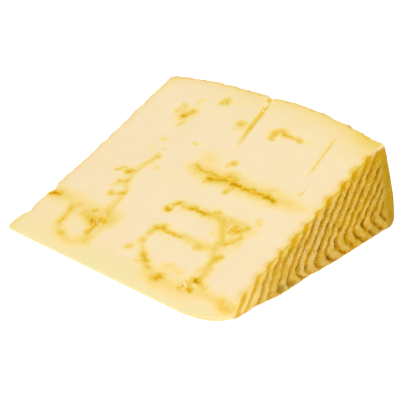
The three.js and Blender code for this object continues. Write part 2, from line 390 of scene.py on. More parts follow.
mark([(-32.8, 63.0), (-30.8, 61.4)], 0.5, 0.2, 1.2, 0.15, 0.3, 0)
mark([(-8.0, 67.7), (-7.0, 67.4)], 0.8, 0.75, 1.7, 0.5, 0.3, 0.4)
mark([(-6.4, 66.6), (-6.0, 64.8)], 0.35, 0.35, 1.1, 0.25, 0.3, 0.1)
mark([(-42.8, 66.8), (-42.0, 64.2)], 0.35, 0.35, 1.0, 0.1, 0.2, 0.2)
mark([(2.0, 66.6), (7.0, 68.0)], 0.5, 0.0, 2.6, 0.28, 0.7, 0)
mark([(1.0, 64.8), (4.0, 65.5)], 0.5, 0.1, 2.0, 0.2, 0.6, 0)
mark([(14.4, 70.2), (15.6, 69.8)], 0.7, 0.25, 1.2, 0.3, 0.15, 0.1)
# upper fleck
mark([(-24.8, 88.4), (-22, 88.7), (-18, 88.6), (-15.4, 89.1)], 0.5, 0.68, 1.4, 0.35, 0.15, 0.35)
mark([(-28, 88.6), (-24.8, 88.5)], 0.4, 0.1, 1.2, 0.2, 0.2, 0)
mark([(-15.8, 89.8), (-14, 90.6), (-12.8, 90.0), (-11.6, 89.0), (-11.4, 88.2)], 0.85, 0.55, 2.0, 0.5, 0.75, 0.3)
mark([(-12.8, 88.0), (-12.2, 86.4), (-12.0, 85.2), (-13.0, 84.6)], 0.65, 0.55, 1.5, 0.35, 0.6, 0.25)
mark([(-11.4, 87.6), (-9.6, 88.2)], 0.3, 0.25, 1.2, 0.25, 0.3, 0.1)
mark([(4.4, 87.4), (5.8, 87.2)], 1.0, 0.5, 2.2, 0.45, 0.55, 0.15)
mark([(4.6, 86.0), (4.6, 83.4)], 0.5, 0.08, 1.8, 0.22, 0.6, 0)
mark([(19.2, 95.6), (20.4, 96.4), (21.0, 94.8)], 1.15, 0.6, 1.9, 0.35, 1.0, 0.4)
mark([(18.4, 97.0), (20.6, 98.2), (22.6, 96.6), (22.4, 94.0)], 0.35, 0.3, 1.2, 0.2, 0.6, 0.1)
mark([(11.0, 97.4), (14.6, 97.0)], 0.3, 0.1, 1.2, 0.2, 0.3, 0)
mark([(30.2, 93.0), (31.6, 92.0), (31.0, 90.4)], 0.5, 0.15, 1.4, 0.28, 0.2, 0)
mark([(35.0, 87.0), (36.6, 87.6)], 0.6, 0.6, 1.0, 0.25, 0.0, 0.2)
# upper cluster
mark([(29.6, 85.0), (30.4, 83.6), (31.4, 82.4)], 0.9, 0.6, 2.8, 0.6, 0.85, 0.3)
mark([(31.2, 82.0), (32.0, 81.4)], 0.9, 0.95, 2.2, 0.5, 1.0, 0.8)
mark([(33.0, 83.8), (36.4, 84.8), (36.4, 83.2)], 0.7, 0.22, 2.0, 0.35, 0.3, 0.1)
mark([(28.6, 85.4), (29.8, 84.6)], 0.5, 0.35, 1.4, 0.3, 0.3, 0.1)
mark([(29.6, 77.4), (29.9, 76.4)], 0.6, 0.42, 1.4, 0.4, 0.25, 0.2)
mark([(29.8, 80.4), (29.2, 78.6)], 0.5, 0.18, 1.8, 0.35, 0.6, 0)
mark([(29.4, 67.2), (30.6, 66.8)], 0.7, 0.22, 1.4, 0.3, 0.1, 0)
mark([(25.0, 62.6), (26.0, 62.0)], 0.5, 0.18, 1.2, 0.25, 0.1, 0)
mark([(31.4, 61.4), (32.6, 60.8)], 0.5, 0.12, 1.4, 0.2, 0.1, 0)
# far middle chain
mark([(24.8, 57.6), (25.8, 58.4)], 0.75, 0.55, 1.4, 0.35, 0.1, 0.25)
mark([(25.8, 56.8), (26.6, 54.4), (27.4, 51.4), (28.0, 48.6)], 0.5, 0.22, 1.6, 0.4, 0.35, 0.05)
mark([(20.6, 53.0), (21.6, 52.2)], 0.5, 0.1, 1.4, 0.2, 0.0, 0)
mark([(30.4, 46.6), (31.6, 45.8)], 0.95, 0.95, 2.2, 0.55, 0.85, 0.8)
mark([(28.6, 47.4), (29.8, 47.2)], 0.55, 0.5, 1.6, 0.35, 0.5, 0.2)
mark([(33.6, 47.6), (34.8, 46.6)], 0.5, 0.35, 1.4, 0.3, 0.3, 0.1)
mark([(35.4, 46.2), (37.0, 45.2)], 0.55, 0.65, 1.3, 0.35, 0.15, 0.25)
mark([(27.2, 42.4), (28.6, 41.4), (29.6, 40.2), (31.2, 40.6)], 0.65, 0.5, 1.7, 0.42, 0.2, 0.2)
mark([(30.8, 39.0), (32.4, 37.6)], 0.55, 0.25, 1.4, 0.3, 0.15, 0.1)
mark([(28.2, 46.0), (27.4, 43.8)], 0.4, 0.22, 1.5, 0.3, 0.4, 0)
mark([(24.0, 36.4), (25.2, 35.4), (25.8, 34.8)], 0.75, 0.7, 1.8, 0.45, 0.4, 0.3)
mark([(28.2, 33.8), (29.0, 33.4), (29.8, 34.4)], 0.75, 0.8, 1.4, 0.4, 0.35, 0.4)
mark([(27.2, 40.8), (25.2, 38.8), (23.8, 36.8)], 0.45, 0.2, 1.6, 0.35, 0.3, 0)
mark([(23.6, 34.0), (23.2, 31.0), (22.6, 28.4), (22.4, 25.6)], 0.55, 0.28, 1.9, 0.45, 0.6, 0.05)
mark([(24.8, 31.0), (24.2, 26.4)], 0.3, 0.2, 1.2, 0.25, 0.1, 0)
mark([(21.6, 25.0), (20.0, 22.6)], 0.5, 0.15, 1.8, 0.3, 0.3, 0)
# far low loop
mark([(19.0, 24.2), (30.0, 23.0), (42.0, 24.4), (53.0, 24.0)], 0.6, 0.0, 3.6, 0.40, 0.1, 0)
mark([(49.0, 23.8), (51.0, 23.6), (52.6, 23.2)], 0.85, 0.75, 2.2, 0.6, 0.7, 0.7)
mark([(51.2, 23.4), (54.6, 22.2)], 0.5, 0.9, 1.4, 0.4, 0.9, 0.9)
mark([(44.0, 24.6), (49.0, 24.2)], 0.5, 0.18, 2.0, 0.3, 0.2, 0)
mark([(20.6, 20.8), (22.0, 20.8), (23.0, 20.0)], 0.95, 0.6, 2.8, 0.6, 0.9, 0.3)
mark([(23.2, 19.2), (24.6, 18.4), (25.2, 18.8)], 0.95, 0.95, 2.2, 0.55, 0.85, 0.8)
mark([(22.0, 18.0), (22.4, 16.4), (22.6, 14.8), (22.2, 13.0)], 0.65, 0.65, 1.7, 0.5, 0.55, 0.35)
mark([(22.0, 13.0), (21.0, 10.8), (20.2, 9.4)], 0.5, 0.15, 2.2, 0.4, 0.5, 0)
mark([(26.0, 20.4), (27.4, 20.0), (29.2, 20.8), (31.4, 21.0)], 0.65, 0.4, 1.8, 0.5, 0.3, 0.1)
mark([(27.6, 23.6), (28.8, 23.2)], 0.6, 0.62, 1.2, 0.35, 0.0, 0.2)
mark([(26.4, 18.4), (28.4, 18.8)], 0.5, 0.3, 1.4, 0.3, 0.2, 0.1)
mark([(38.8, 20.8), (38.4, 18.8), (37.6, 17.0), (37.4, 14.6), (37.2, 12.2)], 0.65, 0.45, 1.8, 0.5, 0.7, 0.2)
mark([(40.0, 22.4), (38.8, 20.8)], 0.5, 0.15, 1.4, 0.3, 0.3, 0)
mark([(36.6, 19.4), (38.0, 18.4)], 0.4, 0.2, 1.2, 0.2, 0.3, 0)
mark([(37.0, 12.0), (35.0, 9.6), (32.4, 8.0), (28.0, 6.6), (24.0, 7.4), (20.8, 9.6)], 0.6, 0.05, 2.0, 0.42, 0.3, 0)
mark([(32.0, 8.6), (33.0, 8.2)], 0.65, 0.6, 1.5, 0.4, 0.5, 0.25)
mark([(20.0, 22.0), (18.4, 18.0), (18.6, 13.0), (19.6, 9.6)], 0.6, 0.05, 2.4, 0.42, 0.35, 0)
# upper arc of the middle loop
mark([(-21, 41.6), (-16.0, 41.6), (-11.0, 41.5), (-5.0, 41.0)], 0.6, 0.2, 2.4, 0.6, 0.35, 0)
mark([(-17.4, 41.6), (-15.4, 41.5), (-13.4, 41.4)], 0.45, 0.6, 1.4, 0.3, 0.15, 0.3)
mark([(-14.2, 41.1), (-12.0, 41.3), (-9.4, 41.5), (-7.0, 41.2)], 0.62, 0.9, 1.7, 0.45, 0.5, 0.6)
mark([(-7.0, 41.2), (-4.6, 40.6), (-2.6, 41.4)], 0.35, 0.4, 1.6, 0.3, 0.4, 0.1)
mark([(-18.9, 44.0), (-18.0, 43.4)], 0.8, 0.5, 1.5, 0.4, 0.4, 0.2)
mark([(-26.0, 39.4), (-23.8, 40.4), (-20.6, 42.0), (-18.0, 41.8)], 0.5, 0.25, 2.0, 0.42, 0.1, 0.05)
mark([(-27.8, 42.4), (-25.4, 42.8), (-22.6, 41.8)], 0.5, 0.08, 1.8, 0.3, 0.1, 0)
mark([(-1.8, 41.8), (-0.9, 41.2), (-0.2, 40.3)], 0.8, 0.85, 1.8, 0.5, 0.35, 0.5)
mark([(-0.1, 40.2), (1.0, 39.8), (2.0, 39.3)], 0.4, 0.5, 1.3, 0.3, 0.1, 0.2)
mark([(-0.2, 37.0), (0.6, 36.7), (1.6, 37.4)], 0.85, 0.9, 1.8, 0.5, 0.3, 0.7)
mark([(0.4, 39.4), (0.2, 37.8)], 0.5, 0.35, 1.2, 0.3, 0.2, 0.2)
mark([(1.4, 36.8), (2.4, 35.6)], 0.3, 0.2, 1.0, 0.2, 0.3, 0)
# near side cluster
mark([(-37.6, 46.2), (-36.4, 46.8)], 0.85, 0.22, 1.7, 0.35, 0.0, 0.05)
mark([(-34.6, 42.4), (-34.0, 41.0), (-32.8, 39.6), (-31.4, 38.9), (-30.2, 39.6), (-30.2, 41.2)], 0.6, 0.52, 1.5, 0.4, 0.2, 0.25)
mark([(-33.6, 39.4), (-32.0, 38.4)], 0.45, 0.55, 1.2, 0.3, 0.4, 0.25)
mark([(-34.8, 37.4), (-34.4, 35.4), (-33.2, 34.0), (-31.8, 32.6)], 0.62, 0.62, 1.6, 0.45, 0.4, 0.3)
mark([(-33.2, 36.2), (-32.0, 35.2)], 0.35, 0.2, 1.1, 0.2, 0.1, 0)
mark([(-30.0, 33.2), (-28.4, 34.6), (-26.4, 36.8), (-24.4, 39.2)], 0.55, 0.42, 1.6, 0.42, 0.2, 0.15)
mark([(-25.0, 33.8), (-23.8, 34.4)], 0.6, 0.15, 1.2, 0.25, 0.0, 0)
mark([(-30.4, 32.4), (-30.2, 29.6)], 0.45, 0.2, 1.5, 0.35, 0.2, 0)
mark([(-38.2, 42.2), (-36.0, 41.4)], 0.6, 0.06, 1.5, 0.22, 0.0, 0)
mark([(-30.8, 43.4), (-30.0, 41.4)], 0.4, 0.15, 1.2, 0.22, 0.1, 0)
mark([(-36.4, 36.4), (-36.0, 33.6)], 0.5, 0.06, 1.4, 0.2, 0.1, 0)
# middle arc
mark([(-31.0, 28.8), (-27.0, 28.2), (-20.0, 28.4), (-13.0, 28.0), (-3.0, 27.8)], 0.4, 0.12, 2.0, 0.5, 0.2, 0)
mark([(-13.6, 27.9), (-11.0, 27.7), (-8.0, 27.6), (-5.6, 27.9)], 0.42, 0.78, 1.3, 0.35, 0.15, 0.45)
mark([(-5.4, 28.2), (-4.0, 28.8), (-2.8, 27.8), (-1.4, 27.2)], 0.8, 0.62, 1.9, 0.5, 0.7, 0.35)
mark([(-4.6, 29.8), (-4.2, 28.8)], 0.35, 0.3, 1.0, 0.2, 0.6, 0.1)
mark([(-1.2, 26.8), (-1.4, 25.0), (-1.0, 23.8)], 0.5, 0.3, 1.5, 0.35, 0.45, 0.1)
mark([(-24.0, 26.9), (-22.8, 26.2)], 0.9, 0.42, 1.6, 0.4, 0.1, 0.15)
mark([(-34.4, 26.6), (-33.4, 24.8)], 0.85, 0.5, 1.7, 0.45, 0.35, 0.2)
mark([(-9.6, 24.2), (-9.0, 23.6)], 0.35, 0.15, 0.9, 0.15, 0.2, 0)
# lower left of the middle loop
mark([(-33.6, 24.4), (-32.6, 22.0), (-33.0, 19.4), (-34.4, 17.6), (-34.2, 15.4), (-33.6, 13.6)], 0.5, 0.3, 1.9, 0.5, 0.6, 0.1)
mark([(-31.2, 18.4), (-30.6, 17.4)], 0.5, 0.15, 1.2, 0.22, 0.2, 0)
mark([(-34.2, 13.7), (-33.3, 13.3), (-32.6, 12.9)], 1.0, 0.98, 1.9, 0.5, 0.75, 0.9)
mark([(-38.2, 12.4), (-37.2, 12.9), (-35.4, 13.0)], 0.42, 0.52, 1.4, 0.35, 0.3, 0.2)
mark([(-31.6, 13.6), (-30.6, 12.4), (-29.6, 12.2)], 0.45, 0.4, 1.3, 0.35, 0.6, 0.2)
mark([(-34.8, 9.2), (-33.8, 9.7), (-32.4, 10.4), (-31.2, 11.0)], 0.6, 0.92, 1.6, 0.45, 0.45, 0.9)
mark([(-31.4, 10.4), (-30.4, 9.4), (-29.8, 8.4)], 0.42, 0.6, 1.4, 0.35, 0.6, 0.4)
mark([(-33.2, 8.2), (-30.0, 8.0)], 0.5, 0.1, 1.8, 0.3, 0.6, 0)
# foot of the middle loop
mark([(-19.9, 9.5), (-19.2, 8.9), (-18.9, 8.3)], 1.0, 0.85, 2.0, 0.5, 0.8, 0.6)
mark([(-21.4, 9.4), (-20.4, 9.2)], 0.4, 0.4, 1.2, 0.3, 0.4, 0.1)
mark([(-18.6, 7.8), (-17.8, 6.8)], 0.45, 0.4, 1.3, 0.3, 0.8, 0.15)
mark([(-27.0, 8.4), (-22.0, 7.4), (-15.6, 8.8)], 0.5, 0.05, 2.4, 0.42, 0.3, 0)
mark([(-25.4, 14.0), (-22.0, 15.0), (-18.4, 14.4)], 0.5, 0.0, 1.7, 0.26, 0.1, 0)
mark([(-10.0, 12.7), (-8.9, 13.3), (-7.6, 14.1), (-6.6, 14.6)], 0.72, 0.78, 1.7, 0.5, 0.4, 0.4)
mark([(-7.6, 12.0), (-6.6, 11.2)], 0.4, 0.3, 1.2, 0.25, 0.2, 0.1)
mark([(-13.0, 10.6), (-11.6, 11.2)], 0.6, 0.45, 1.6, 0.4, 0.3, 0.15)
mark([(-6.4, 14.8), (-4.4, 16.4), (-2.8, 18.0), (-1.4, 19.4)], 0.4, 0.22, 1.6, 0.4, 0.3, 0.05)
mark([(-1.6, 20.2), (-0.8, 19.4)], 0.7, 0.5, 1.3, 0.35, 0.1, 0.2)
mark([(-1.0, 22.6), (-1.0, 20.6)], 0.4, 0.15, 1.4, 0.3, 0.3, 0)
mark([(1.2, 15.6), (2.2, 14.9)], 0.9, 0.6, 1.9, 0.45, 0.2, 0.25)
mark([(-16.0, 9.8), (-13.0, 10.6), (-10.0, 12.4)], 0.4, 0.1, 1.8, 0.35, 0.3, 0)
# faint lines along the lower band
mark([(-55, 10.0), (-50, 10.4), (-44, 10.6), (-38, 10.2)], 0.5, 0.05, 1.8, 0.6, 0.0, 0)
mark([(-55, 9.4), (-49.5, 9.8)], 0.6, 0.05, 1.8, 0.5, 0.0, 0)

for _m in V:
    _r = _m[0][:, 1].copy()
    _m[0][:, 0] += np.interp(_r, [10, 45, 58, 66], [-0.85, -0.7, -0.35, 0.0])
    _m[0][:, 1] += np.interp(_r, [45, 58], [-0.7, -0.45])

# broad yellow staining that ties the marks together
mark([(-33, 57.8), (-24, 57.8), (-14, 58.2), (-6, 57.4)], 0.9, 0.45, 3.4, 0.42, 0.4, 0)
mark([(-6, 56.6), (-3.6, 55.4)], 0.9, 0.35, 2.6, 0.5, 0.7, 0.1)
mark([(-12.4, 60.9), (-10.6, 61.1)], 0.9, 0.3, 2.2, 0.45, 0.2, 0.1)
mark([(-5, 59.2), (0, 58.8), (5, 59.0)], 0.8, 0.3, 2.2, 0.4, 0.2, 0.05)
mark([(-37.5, 57.6), (-46, 58.2)], 0.6, 0.0, 2.6, 0.3, 0.1, 0)
mark([(-32, 61), (-27, 61.2)], 0.6, 0.0, 1.6, 0.2, 0.2, 0)
mark([(-14.9, 56.5), (-14.7, 53.0)], 0.5, 0.25, 1.1, 0.25, 0.2, 0.05)
mark([(-34.4, 42.0), (-33.6, 39.6), (-32.4, 37.6)], 0.7, 0.35, 2.4, 0.35, 0.2, 0.1)
mark([(-30.2, 40.6), (-30.0, 37.0), (-31.2, 36.8)], 0.7, 0.4, 2.0, 0.4, 0.2, 0.1)
mark([(-27.4, 42.4), (-27.0, 39.4)], 0.7, 0.25, 1.9, 0.4, 0.2, 0)
mark([(-24.6, 40.6), (-26.4, 37.0), (-29.4, 33.6), (-30.2, 30.8)], 0.8, 0.42, 1.9, 0.35, 0.3, 0.1)
mark([(-34.8, 34.6), (-33.4, 32.8), (-31.8, 31.6)], 0.8, 0.4, 1.8, 0.3, 0.4, 0.15)
mark([(-30.4, 30.6), (-30.2, 28.4), (-31.2, 26.0), (-33.6, 24.8)], 0.7, 0.28, 1.9, 0.42, 0.3, 0.05)
mark([(-34.6, 25.4), (-34.0, 24.2)], 0.9, 0.35, 1.8, 0.35, 0.2, 0.1)
mark([(-38.2, 41.0), (-37.2, 38.4)], 0.6, 0.0, 1.8, 0.24, 0.1, 0)
mark([(-37.6, 32.8), (-36.4, 30.4)], 0.6, 0.0, 1.6, 0.24, 0.1, 0)
mark([(-32, 41.5), (-26, 42.6), (-21, 41.6)], 0.7, 0.12, 2.0, 0.42, 0.2, 0)
mark([(-30, 27.6), (-24, 27.4), (-15, 27.4)], 0.6, 0.1, 1.5, 0.36, 0.1, 0)
mark([(-24.2, 26.2), (-23.4, 25.8)], 1.0, 0.26, 1.6, 0.3, 0.1, 0.05)
mark([(-4.8, 28.2), (-2.6, 26.4), (-2.2, 23.6)], 0.8, 0.3, 1.7, 0.36, 0.5, 0.1)
mark([(-33.6, 21.4), (-35.0, 19.6), (-35.6, 16.8), (-34.8, 14.0)], 0.8, 0.34, 1.9, 0.4, 0.4, 0.1)
mark([(-32.0, 18.0), (-31.0, 16.6)], 0.6, 0.1, 1.2, 0.22, 0.1, 0)
mark([(-34.8, 13.0), (-33.8, 12.4), (-32.8, 12.3)], 0.9, 0.65, 2.4, 0.45, 0.9, 0.3)
mark([(-39.6, 11.8), (-36.0, 12.4)], 0.5, 0.3, 1.6, 0.35, 0.2, 0.1)
mark([(-38, 8.6), (-31, 6.6), (-24, 6.2), (-14, 7.6)], 0.6, 0.0, 3.6, 0.42, 0.4, 0)
mark([(-21.0, 8.8), (-19.6, 8.0), (-19.0, 6.8)], 1.1, 0.4, 2.6, 0.4, 0.6, 0.15)
mark([(-26, 14.2), (-19, 13.8)], 0.6, 0.0, 1.7, 0.32, 0.2, 0)
mark([(-13, 10.2), (-9.6, 12.6), (-6.4, 14.8)], 0.7, 0.3, 1.8, 0.35, 0.2, 0.1)
mark([(-9.6, 10.8), (-6.6, 11.0)], 0.6, 0.0, 1.5, 0.3, 0.2, 0)
mark([(26.2, 55.4), (27.4, 50.6)], 0.7, 0.12, 1.7, 0.32, 0.1, 0)
mark([(20.2, 52.2), (21.4, 52.0)], 0.8, 0.06, 1.6, 0.28, 0.0, 0)
mark([(27.0, 47.2), (26.6, 44.0), (25.4, 39.0), (23.4, 35.6)], 0.6, 0.0, 1.8, 0.26, 0.2, 0)
mark([(16, 20.4), (18, 20.6)], 1.0, 0.1, 2.6, 0.4, 0.2, 0)
mark([(24.6, 19.2), (28.6, 19.0), (31.2, 19.6)], 1.0, 0.3, 2.2, 0.42, 0.2, 0.1)
mark([(20.6, 20.2), (22.8, 18.6)], 1.0, 0.5, 2.4, 0.42, 0.5, 0.2)
mark([(36.4, 22.2), (38.0, 20.0), (37.6, 17.4), (36.6, 14.6), (36.6, 11.4)], 0.9, 0.3, 1.9, 0.4, 0.2, 0.1)
mark([(19, 9.0), (24, 6.4), (30, 6.0), (36, 8.0)], 0.6, 0.0, 2.8, 0.34, 0.2, 0)
mark([(16, 23), (30, 22.4), (44, 22.6), (52, 22.6)], 0.6, 0.0, 4.0, 0.26, 0.1, 0)
mark([(30, 14), (44, 12)], 0.6, 0.0, 7.0, 0.14, 0.1, 0)
mark([(4.4, 87.0), (5.4, 86.6)], 0.9, 0.2, 2.6, 0.35, 0.3, 0.05)
mark([(34.6, 85.4), (36.2, 82.6)], 0.8, 0.05, 2.2, 0.3, 0.2, 0)
mark([(30.0, 85.0), (31.6, 81.6)], 0.8, 0.2, 2.4, 0.3, 0.5, 0.1)
mark([(-24, 88.2), (-16, 88.4)], 0.5, 0.25, 1.6, 0.3, 0.1, 0.1)
mark([(-14.4, 89.6), (-12.6, 88.0)], 0.9, 0.3, 2.4, 0.35, 0.5, 0.1)
mark([(-7.8, 67.2), (-7.4, 66.9)], 0.7, 0.3, 1.6, 0.3, 0.2, 0.1)

# dark corner of the torn hollow
mark([(-34.2, 13.3), (-33.4, 12.4), (-33.6, 11.6)], 0.75, 0.95, 1.8, 0.35, 1.0, 0.3)
# golden patch of the low near corner
mark([(-49.2, 9.6), (-53.2, 8.7)], 1.3, 0.24, 2.8, 0.85, 0.0, 0.0)
# fine golden strokes in the near side cluster and the middle arc
mark([(-29.4, 36.8), (-31.0, 38.7), (-34.2, 39.8), (-35.3, 42.0)], 0.34, 0.72, 0.9, 0.15, 0.0, 0.15)
mark([(-29.8, 40.1), (-29.8, 38.6), (-31.4, 37.7)], 0.34, 0.5, 0.9, 0.15, 0.0, 0.1)
mark([(-30.5, 30.6), (-32.8, 32.5), (-34.5, 34.5)], 0.34, 0.62, 0.9, 0.15, 0.2, 0.15)
mark([(-33.1, 24.4), (-35.1, 26.1)], 0.5, 0.5, 0.9, 0.15, 0.0, 0.1)
mark([(-7.6, 26.5), (-10.1, 26.9), (-13.8, 27.1)], 0.3, 0.55, 0.8, 0.1, 0.0, 0.15)
# needle tracks: (points, half width, depth, colour strength)
TRACKS = [
    ([(3.6, 104.5), (3.0, 102.0), (1.6, 98.0), (0.9, 94.0), (0.2, 88.0), (-0.9, 82.0), (-2.0, 77.0), (-3.2, 70.5)], 1.5, 0.36, 0.62),
    ([(-35.9, 95.2), (-36.6, 90.0), (-37.4, 84.0), (-38.2, 78.0), (-38.8, 71.5)], 0.85, 0.24, 0.36),
]


def seg_dist(q, pts):
    """Distance from points q (N,2) to a polyline, and the share along it."""
    best = np.full(len(q), 1e9)
    share = np.zeros(len(q))
    n = max(len(pts) - 1, 1)
    for i in range(n):
        a, b = pts[i], pts[min(i + 1, len(pts) - 1)]
        ab = b - a
        t = np.clip(((q - a) @ ab) / max(ab @ ab, 1e-9), 0, 1)
        d = np.linalg.norm(q - (a + t[:, None] * ab), axis=1)
        m = d < best
        best[m] = d[m]
        share[m] = ((i + t) / n)[m]
    return best, share


def paste_marks(y, r, seed=0, flip=False):
    """Masks of the paste at (y, r) of a cut face."""
    q0 = np.stack([y, r], 1)
    p = np.stack([r, y, np.full_like(y, 3.0 + 40 * seed)], 1)
    w1 = np.stack([noise(p, 2.6, 91), noise(p, 2.6, 92)], 1) * 0.45
    w2 = np.stack([noise(p, 1.0, 93), noise(p, 1.0, 94)], 1) * 0.26
    w3 = np.stack([noise(p, 0.55, 95), noise(p, 0.55, 96)], 1) * 0.16
    q = q0 + w1 + w2 + w3
    qs = q0 + np.stack([noise(p, 5.0, 97), noise(p, 5.0, 98)], 1) * 0.9 + w1
    crumb = 0.5 + 0.5 * noise(p, 0.75, 99)
    core = np.zeros(len(y)); tone = np.zeros(len(y)); halo = np.zeros(len(y)); htone = np.zeros(len(y)); depth = np.zeros(len(y))
    for pts, w, c, hr, hs, tn, dp in V:
        lo, hi = pts.min(0) - hr * 2.2 - 2, pts.max(0) + hr * 2.2 + 2
        m = np.where((q0[:, 0] > lo[0]) & (q0[:, 0] < hi[0]) & (q0[:, 1] > lo[1]) & (q0[:, 1] < hi[1]))[0]
        if not len(m):
            continue
        if c > 0:
            d, _ = seg_dist(q[m], pts)
            k = c * np.exp(-(d / (1.15 * w + 0.28)) ** 2) * (0.72 + 0.5 * crumb[m])
            k = np.clip(k, 0, 1)
            tone[m] = (tone[m] * core[m] + tn * k) / np.maximum(core[m] + k, 1e-6)
            core[m] = np.maximum(core[m], k)
            if dp > 0:
                dd = dp * (1 - smooth(0.15 * w, 1.0 * w, d)) * (0.55 + 0.6 * crumb[m])
                depth[m] = np.maximum(depth[m], dd)
        if hs > 0:
            d, _ = seg_dist(qs[m], pts)
            h = min(0.95 * hs, 0.6) * np.exp(-(d / hr) ** 1.7)
            htone[m] = np.where(h > halo[m], lerp(htone[m], tn, np.clip(h / (h + halo[m] + 1e-6), 0, 1)), htone[m])
            halo[m] = 1 - (1 - halo[m]) * (1 - h)
    track = np.zeros(len(y))
    for pts, w, dp, cs in TRACKS:
        d, s = seg_dist(q0 + w1 * 0.35 + w3, np.array(pts))
        ends = smooth(0.0, 0.06, s) * (1 - smooth(0.72, 1.0, s)) if cs < 0.4 else (1 - smooth(0.55, 1.0, s))
        prof = 1 - smooth(0.25 * w, 1.35 * w, d)
        track = np.maximum(track, cs * prof * ends * (0.75 + 0.5 * crumb))
        depth = np.maximum(depth, dp * (1 - smooth(0.0, 1.0 * w, d)) * ends)
        halo = 1 - (1 - halo) * (1 - 0.35 * cs * np.exp(-(d / 2.4) ** 2) * ends)
    return dict(core=core, tone=tone, halo=halo, htone=htone, depth=depth, track=track, crumb=crumb)


# ------------------------------------------------------------------ shared borders
STEP_EDGE = 0.42


def border_runs():
    """Ring samples U, finer on the mat-marked ends."""
    out = []
    for k in range(8):
        step = {0: 0.42, 1: 0.42, 2: 0.6, 3: 0.6, 4: 0.5, 5: 0.5, 6: 0.7, 7: 0.55}[k]
        n = int(round(LEN[k] / step))
        out.append(CUM[k] + np.arange(n) / n * LEN[k])
    return np.concatenate(out)


UB = border_runs()
NB = len(UB)
top_ring, top_info = ring_point(UB, np.ones(NB))
bot_ring, bot_info = ring_point(UB, np.zeros(NB))
top_ring[:, 2] -= EDGE * 0.9 * np.clip(top_ring[:, 2] / 4.0, 0.25, 1.0)
bot_ring[:, 2] = 0.0


def hex_points(x0, x1, y0, y1, s, rng, jitter=0.18):
    nx, ny = int((x1 - x0) / s) + 2, int((y1 - y0) / (s * 0.866)) + 2
    X, Y = np.meshgrid(np.arange(nx), np.arange(ny))
    P = np.stack([x0 + (X + 0.5 * (Y % 2)) * s, y0 + Y * s * 0.866], -1).reshape(-1, 2)
    return P + rng.uniform(-jitter, jitter, P.shape) * s


def poly_sdf(P, poly):
    """Inside test and distance to a closed polygon, in blocks."""
    n = len(poly)
    A, B = poly, np.roll(poly, -1, 0)
    inside = np.zeros(len(P), bool)
    dist = np.full(len(P), 1e9)
    for i in range(0, len(P), 4000):
        q = P[i:i + 4000]
        ay, by = A[None, :, 1], B[None, :, 1]
        py = q[:, None, 1]
        cross = (ay > py) != (by > py)
        with np.errstate(divide="ignore", invalid="ignore"):
            xx = A[None, :, 0] + (py - ay) / (by - ay) * (B[None, :, 0] - A[None, :, 0])
        inside[i:i + 4000] = (np.where(cross, q[:, None, 0] < xx, False).sum(1) % 2) == 1
        d = np.hypot(q[:, None, 0] - A[None, :, 0], q[:, None, 1] - A[None, :, 1])
        dist[i:i + 4000] = d.min(1)
    return inside, dist


def graded(poly, want, spacings, rng, edge_gap=0.5):
    """Interior points whose spacing follows want(P) in mm; spacings from coarse to fine."""
    lo, hi = poly.min(0), poly.max(0)
    kept = []
    for n, s in enumerate(spacings):
        P = hex_points(lo[0], hi[0], lo[1], hi[1], s, rng)
        w = want(P)
        upper = spacings[n - 1] if n else 1e9
        m = (w < upper * 0.999) if n else np.ones(len(P), bool)
        lower = s
        m &= (w >= lower * 0.999) if n < len(spacings) - 1 else True
        P = P[m]
        ins, d = poly_sdf(P, poly)
        P = P[ins & (d > s * edge_gap)]
        kept.append(P)
    return np.concatenate(kept)


def triangulate(border, inner):
    """Triangles over border (closed loop, first) and inner points, as indices into both."""
    allp = np.concatenate([border, inner])
    co = [Vector((float(a), float(b))) for a, b in allp]
    out = delaunay_2d_cdt(co, [], [list(range(len(border)))], 1, 1e-7)
    vmap = [o[0] if len(o) else -1 for o in out[3]]
    if min(vmap) < 0:
        raise RuntimeError("border crosses itself")
    tris = []
    for f in out[2]:
        f = [vmap[i] for i in f]
        for j in range(1, len(f) - 1):
            tris.append((f[0], f[j], f[j + 1]))
    return np.array(tris)


rng = np.random.default_rng(12)

# ---- upper cut face, worked out in (y, r) with r along the slope
RS = math.hypot(1, SLOPE)
top_poly = np.stack([top_ring[:, 1], top_ring[:, 0] * RS], 1)
MARK_PTS = [(m[0], m[1], m[3] if m[4] > 0.3 else 1.0, m[2]) for m in V]


def want_top(P):
    w = np.full(len(P), 1.15)
    for pts, hw, hr, c in MARK_PTS:
        lo, hi = pts.min(0) - 5, pts.max(0) + 5
        m = np.where((P[:, 0] > lo[0]) & (P[:, 0] < hi[0]) & (P[:, 1] > lo[1]) & (P[:, 1] < hi[1]))[0]
        if not len(m):
            continue
        d, _ = seg_dist(P[m], pts)
        if c > 0.2:
            w[m] = np.minimum(w[m], np.where(d < hw + 0.75, 0.34, np.where(d < hw + 2.0, 0.62, 1.15)))
        else:
            w[m] = np.minimum(w[m], np.where(d < 2.0, 0.8, 1.15))
    for pts, hw, dp, cs in TRACKS:
        d, _ = seg_dist(P, np.array(pts))
        w = np.minimum(w, np.where(d < hw + 0.6, 0.40, np.where(d < hw + 1.8, 0.7, 1.15)))
    _, e = poly_sdf(P, top_poly)
    return np.minimum(w, np.where(e < 1.6, 0.5, np.where(e < 3.0, 0.8, 1.15)))


top_in = graded(top_poly, want_top, [1.15, 0.8, 0.5, 0.34], rng, 0.62)
top_tris = triangulate(top_poly, top_in)


def cut_height(P, depthmap, base):
    return base - depthmap


ty, tx = top_in[:, 0], top_in[:, 1] / RS
tm = paste_marks(ty, top_in[:, 1])
_, tedge = poly_sdf(top_in, top_poly)
tz = ztop(tx, ty)
tz = tz - EDGE * 0.9 * np.clip(tz / 4, 0.25, 1) * np.clip(1 - tedge / 0.9, 0, 1) ** 2
tp = np.stack([tx, ty, tz], 1)
# crumbly hollow of the near low corner and torn mouth of the long needle track, with two smaller torn spots; pale
# streaks and glints on these torn spots are painted highlights
q = top_in
crumbs = noise(tp, 0.9, 101)


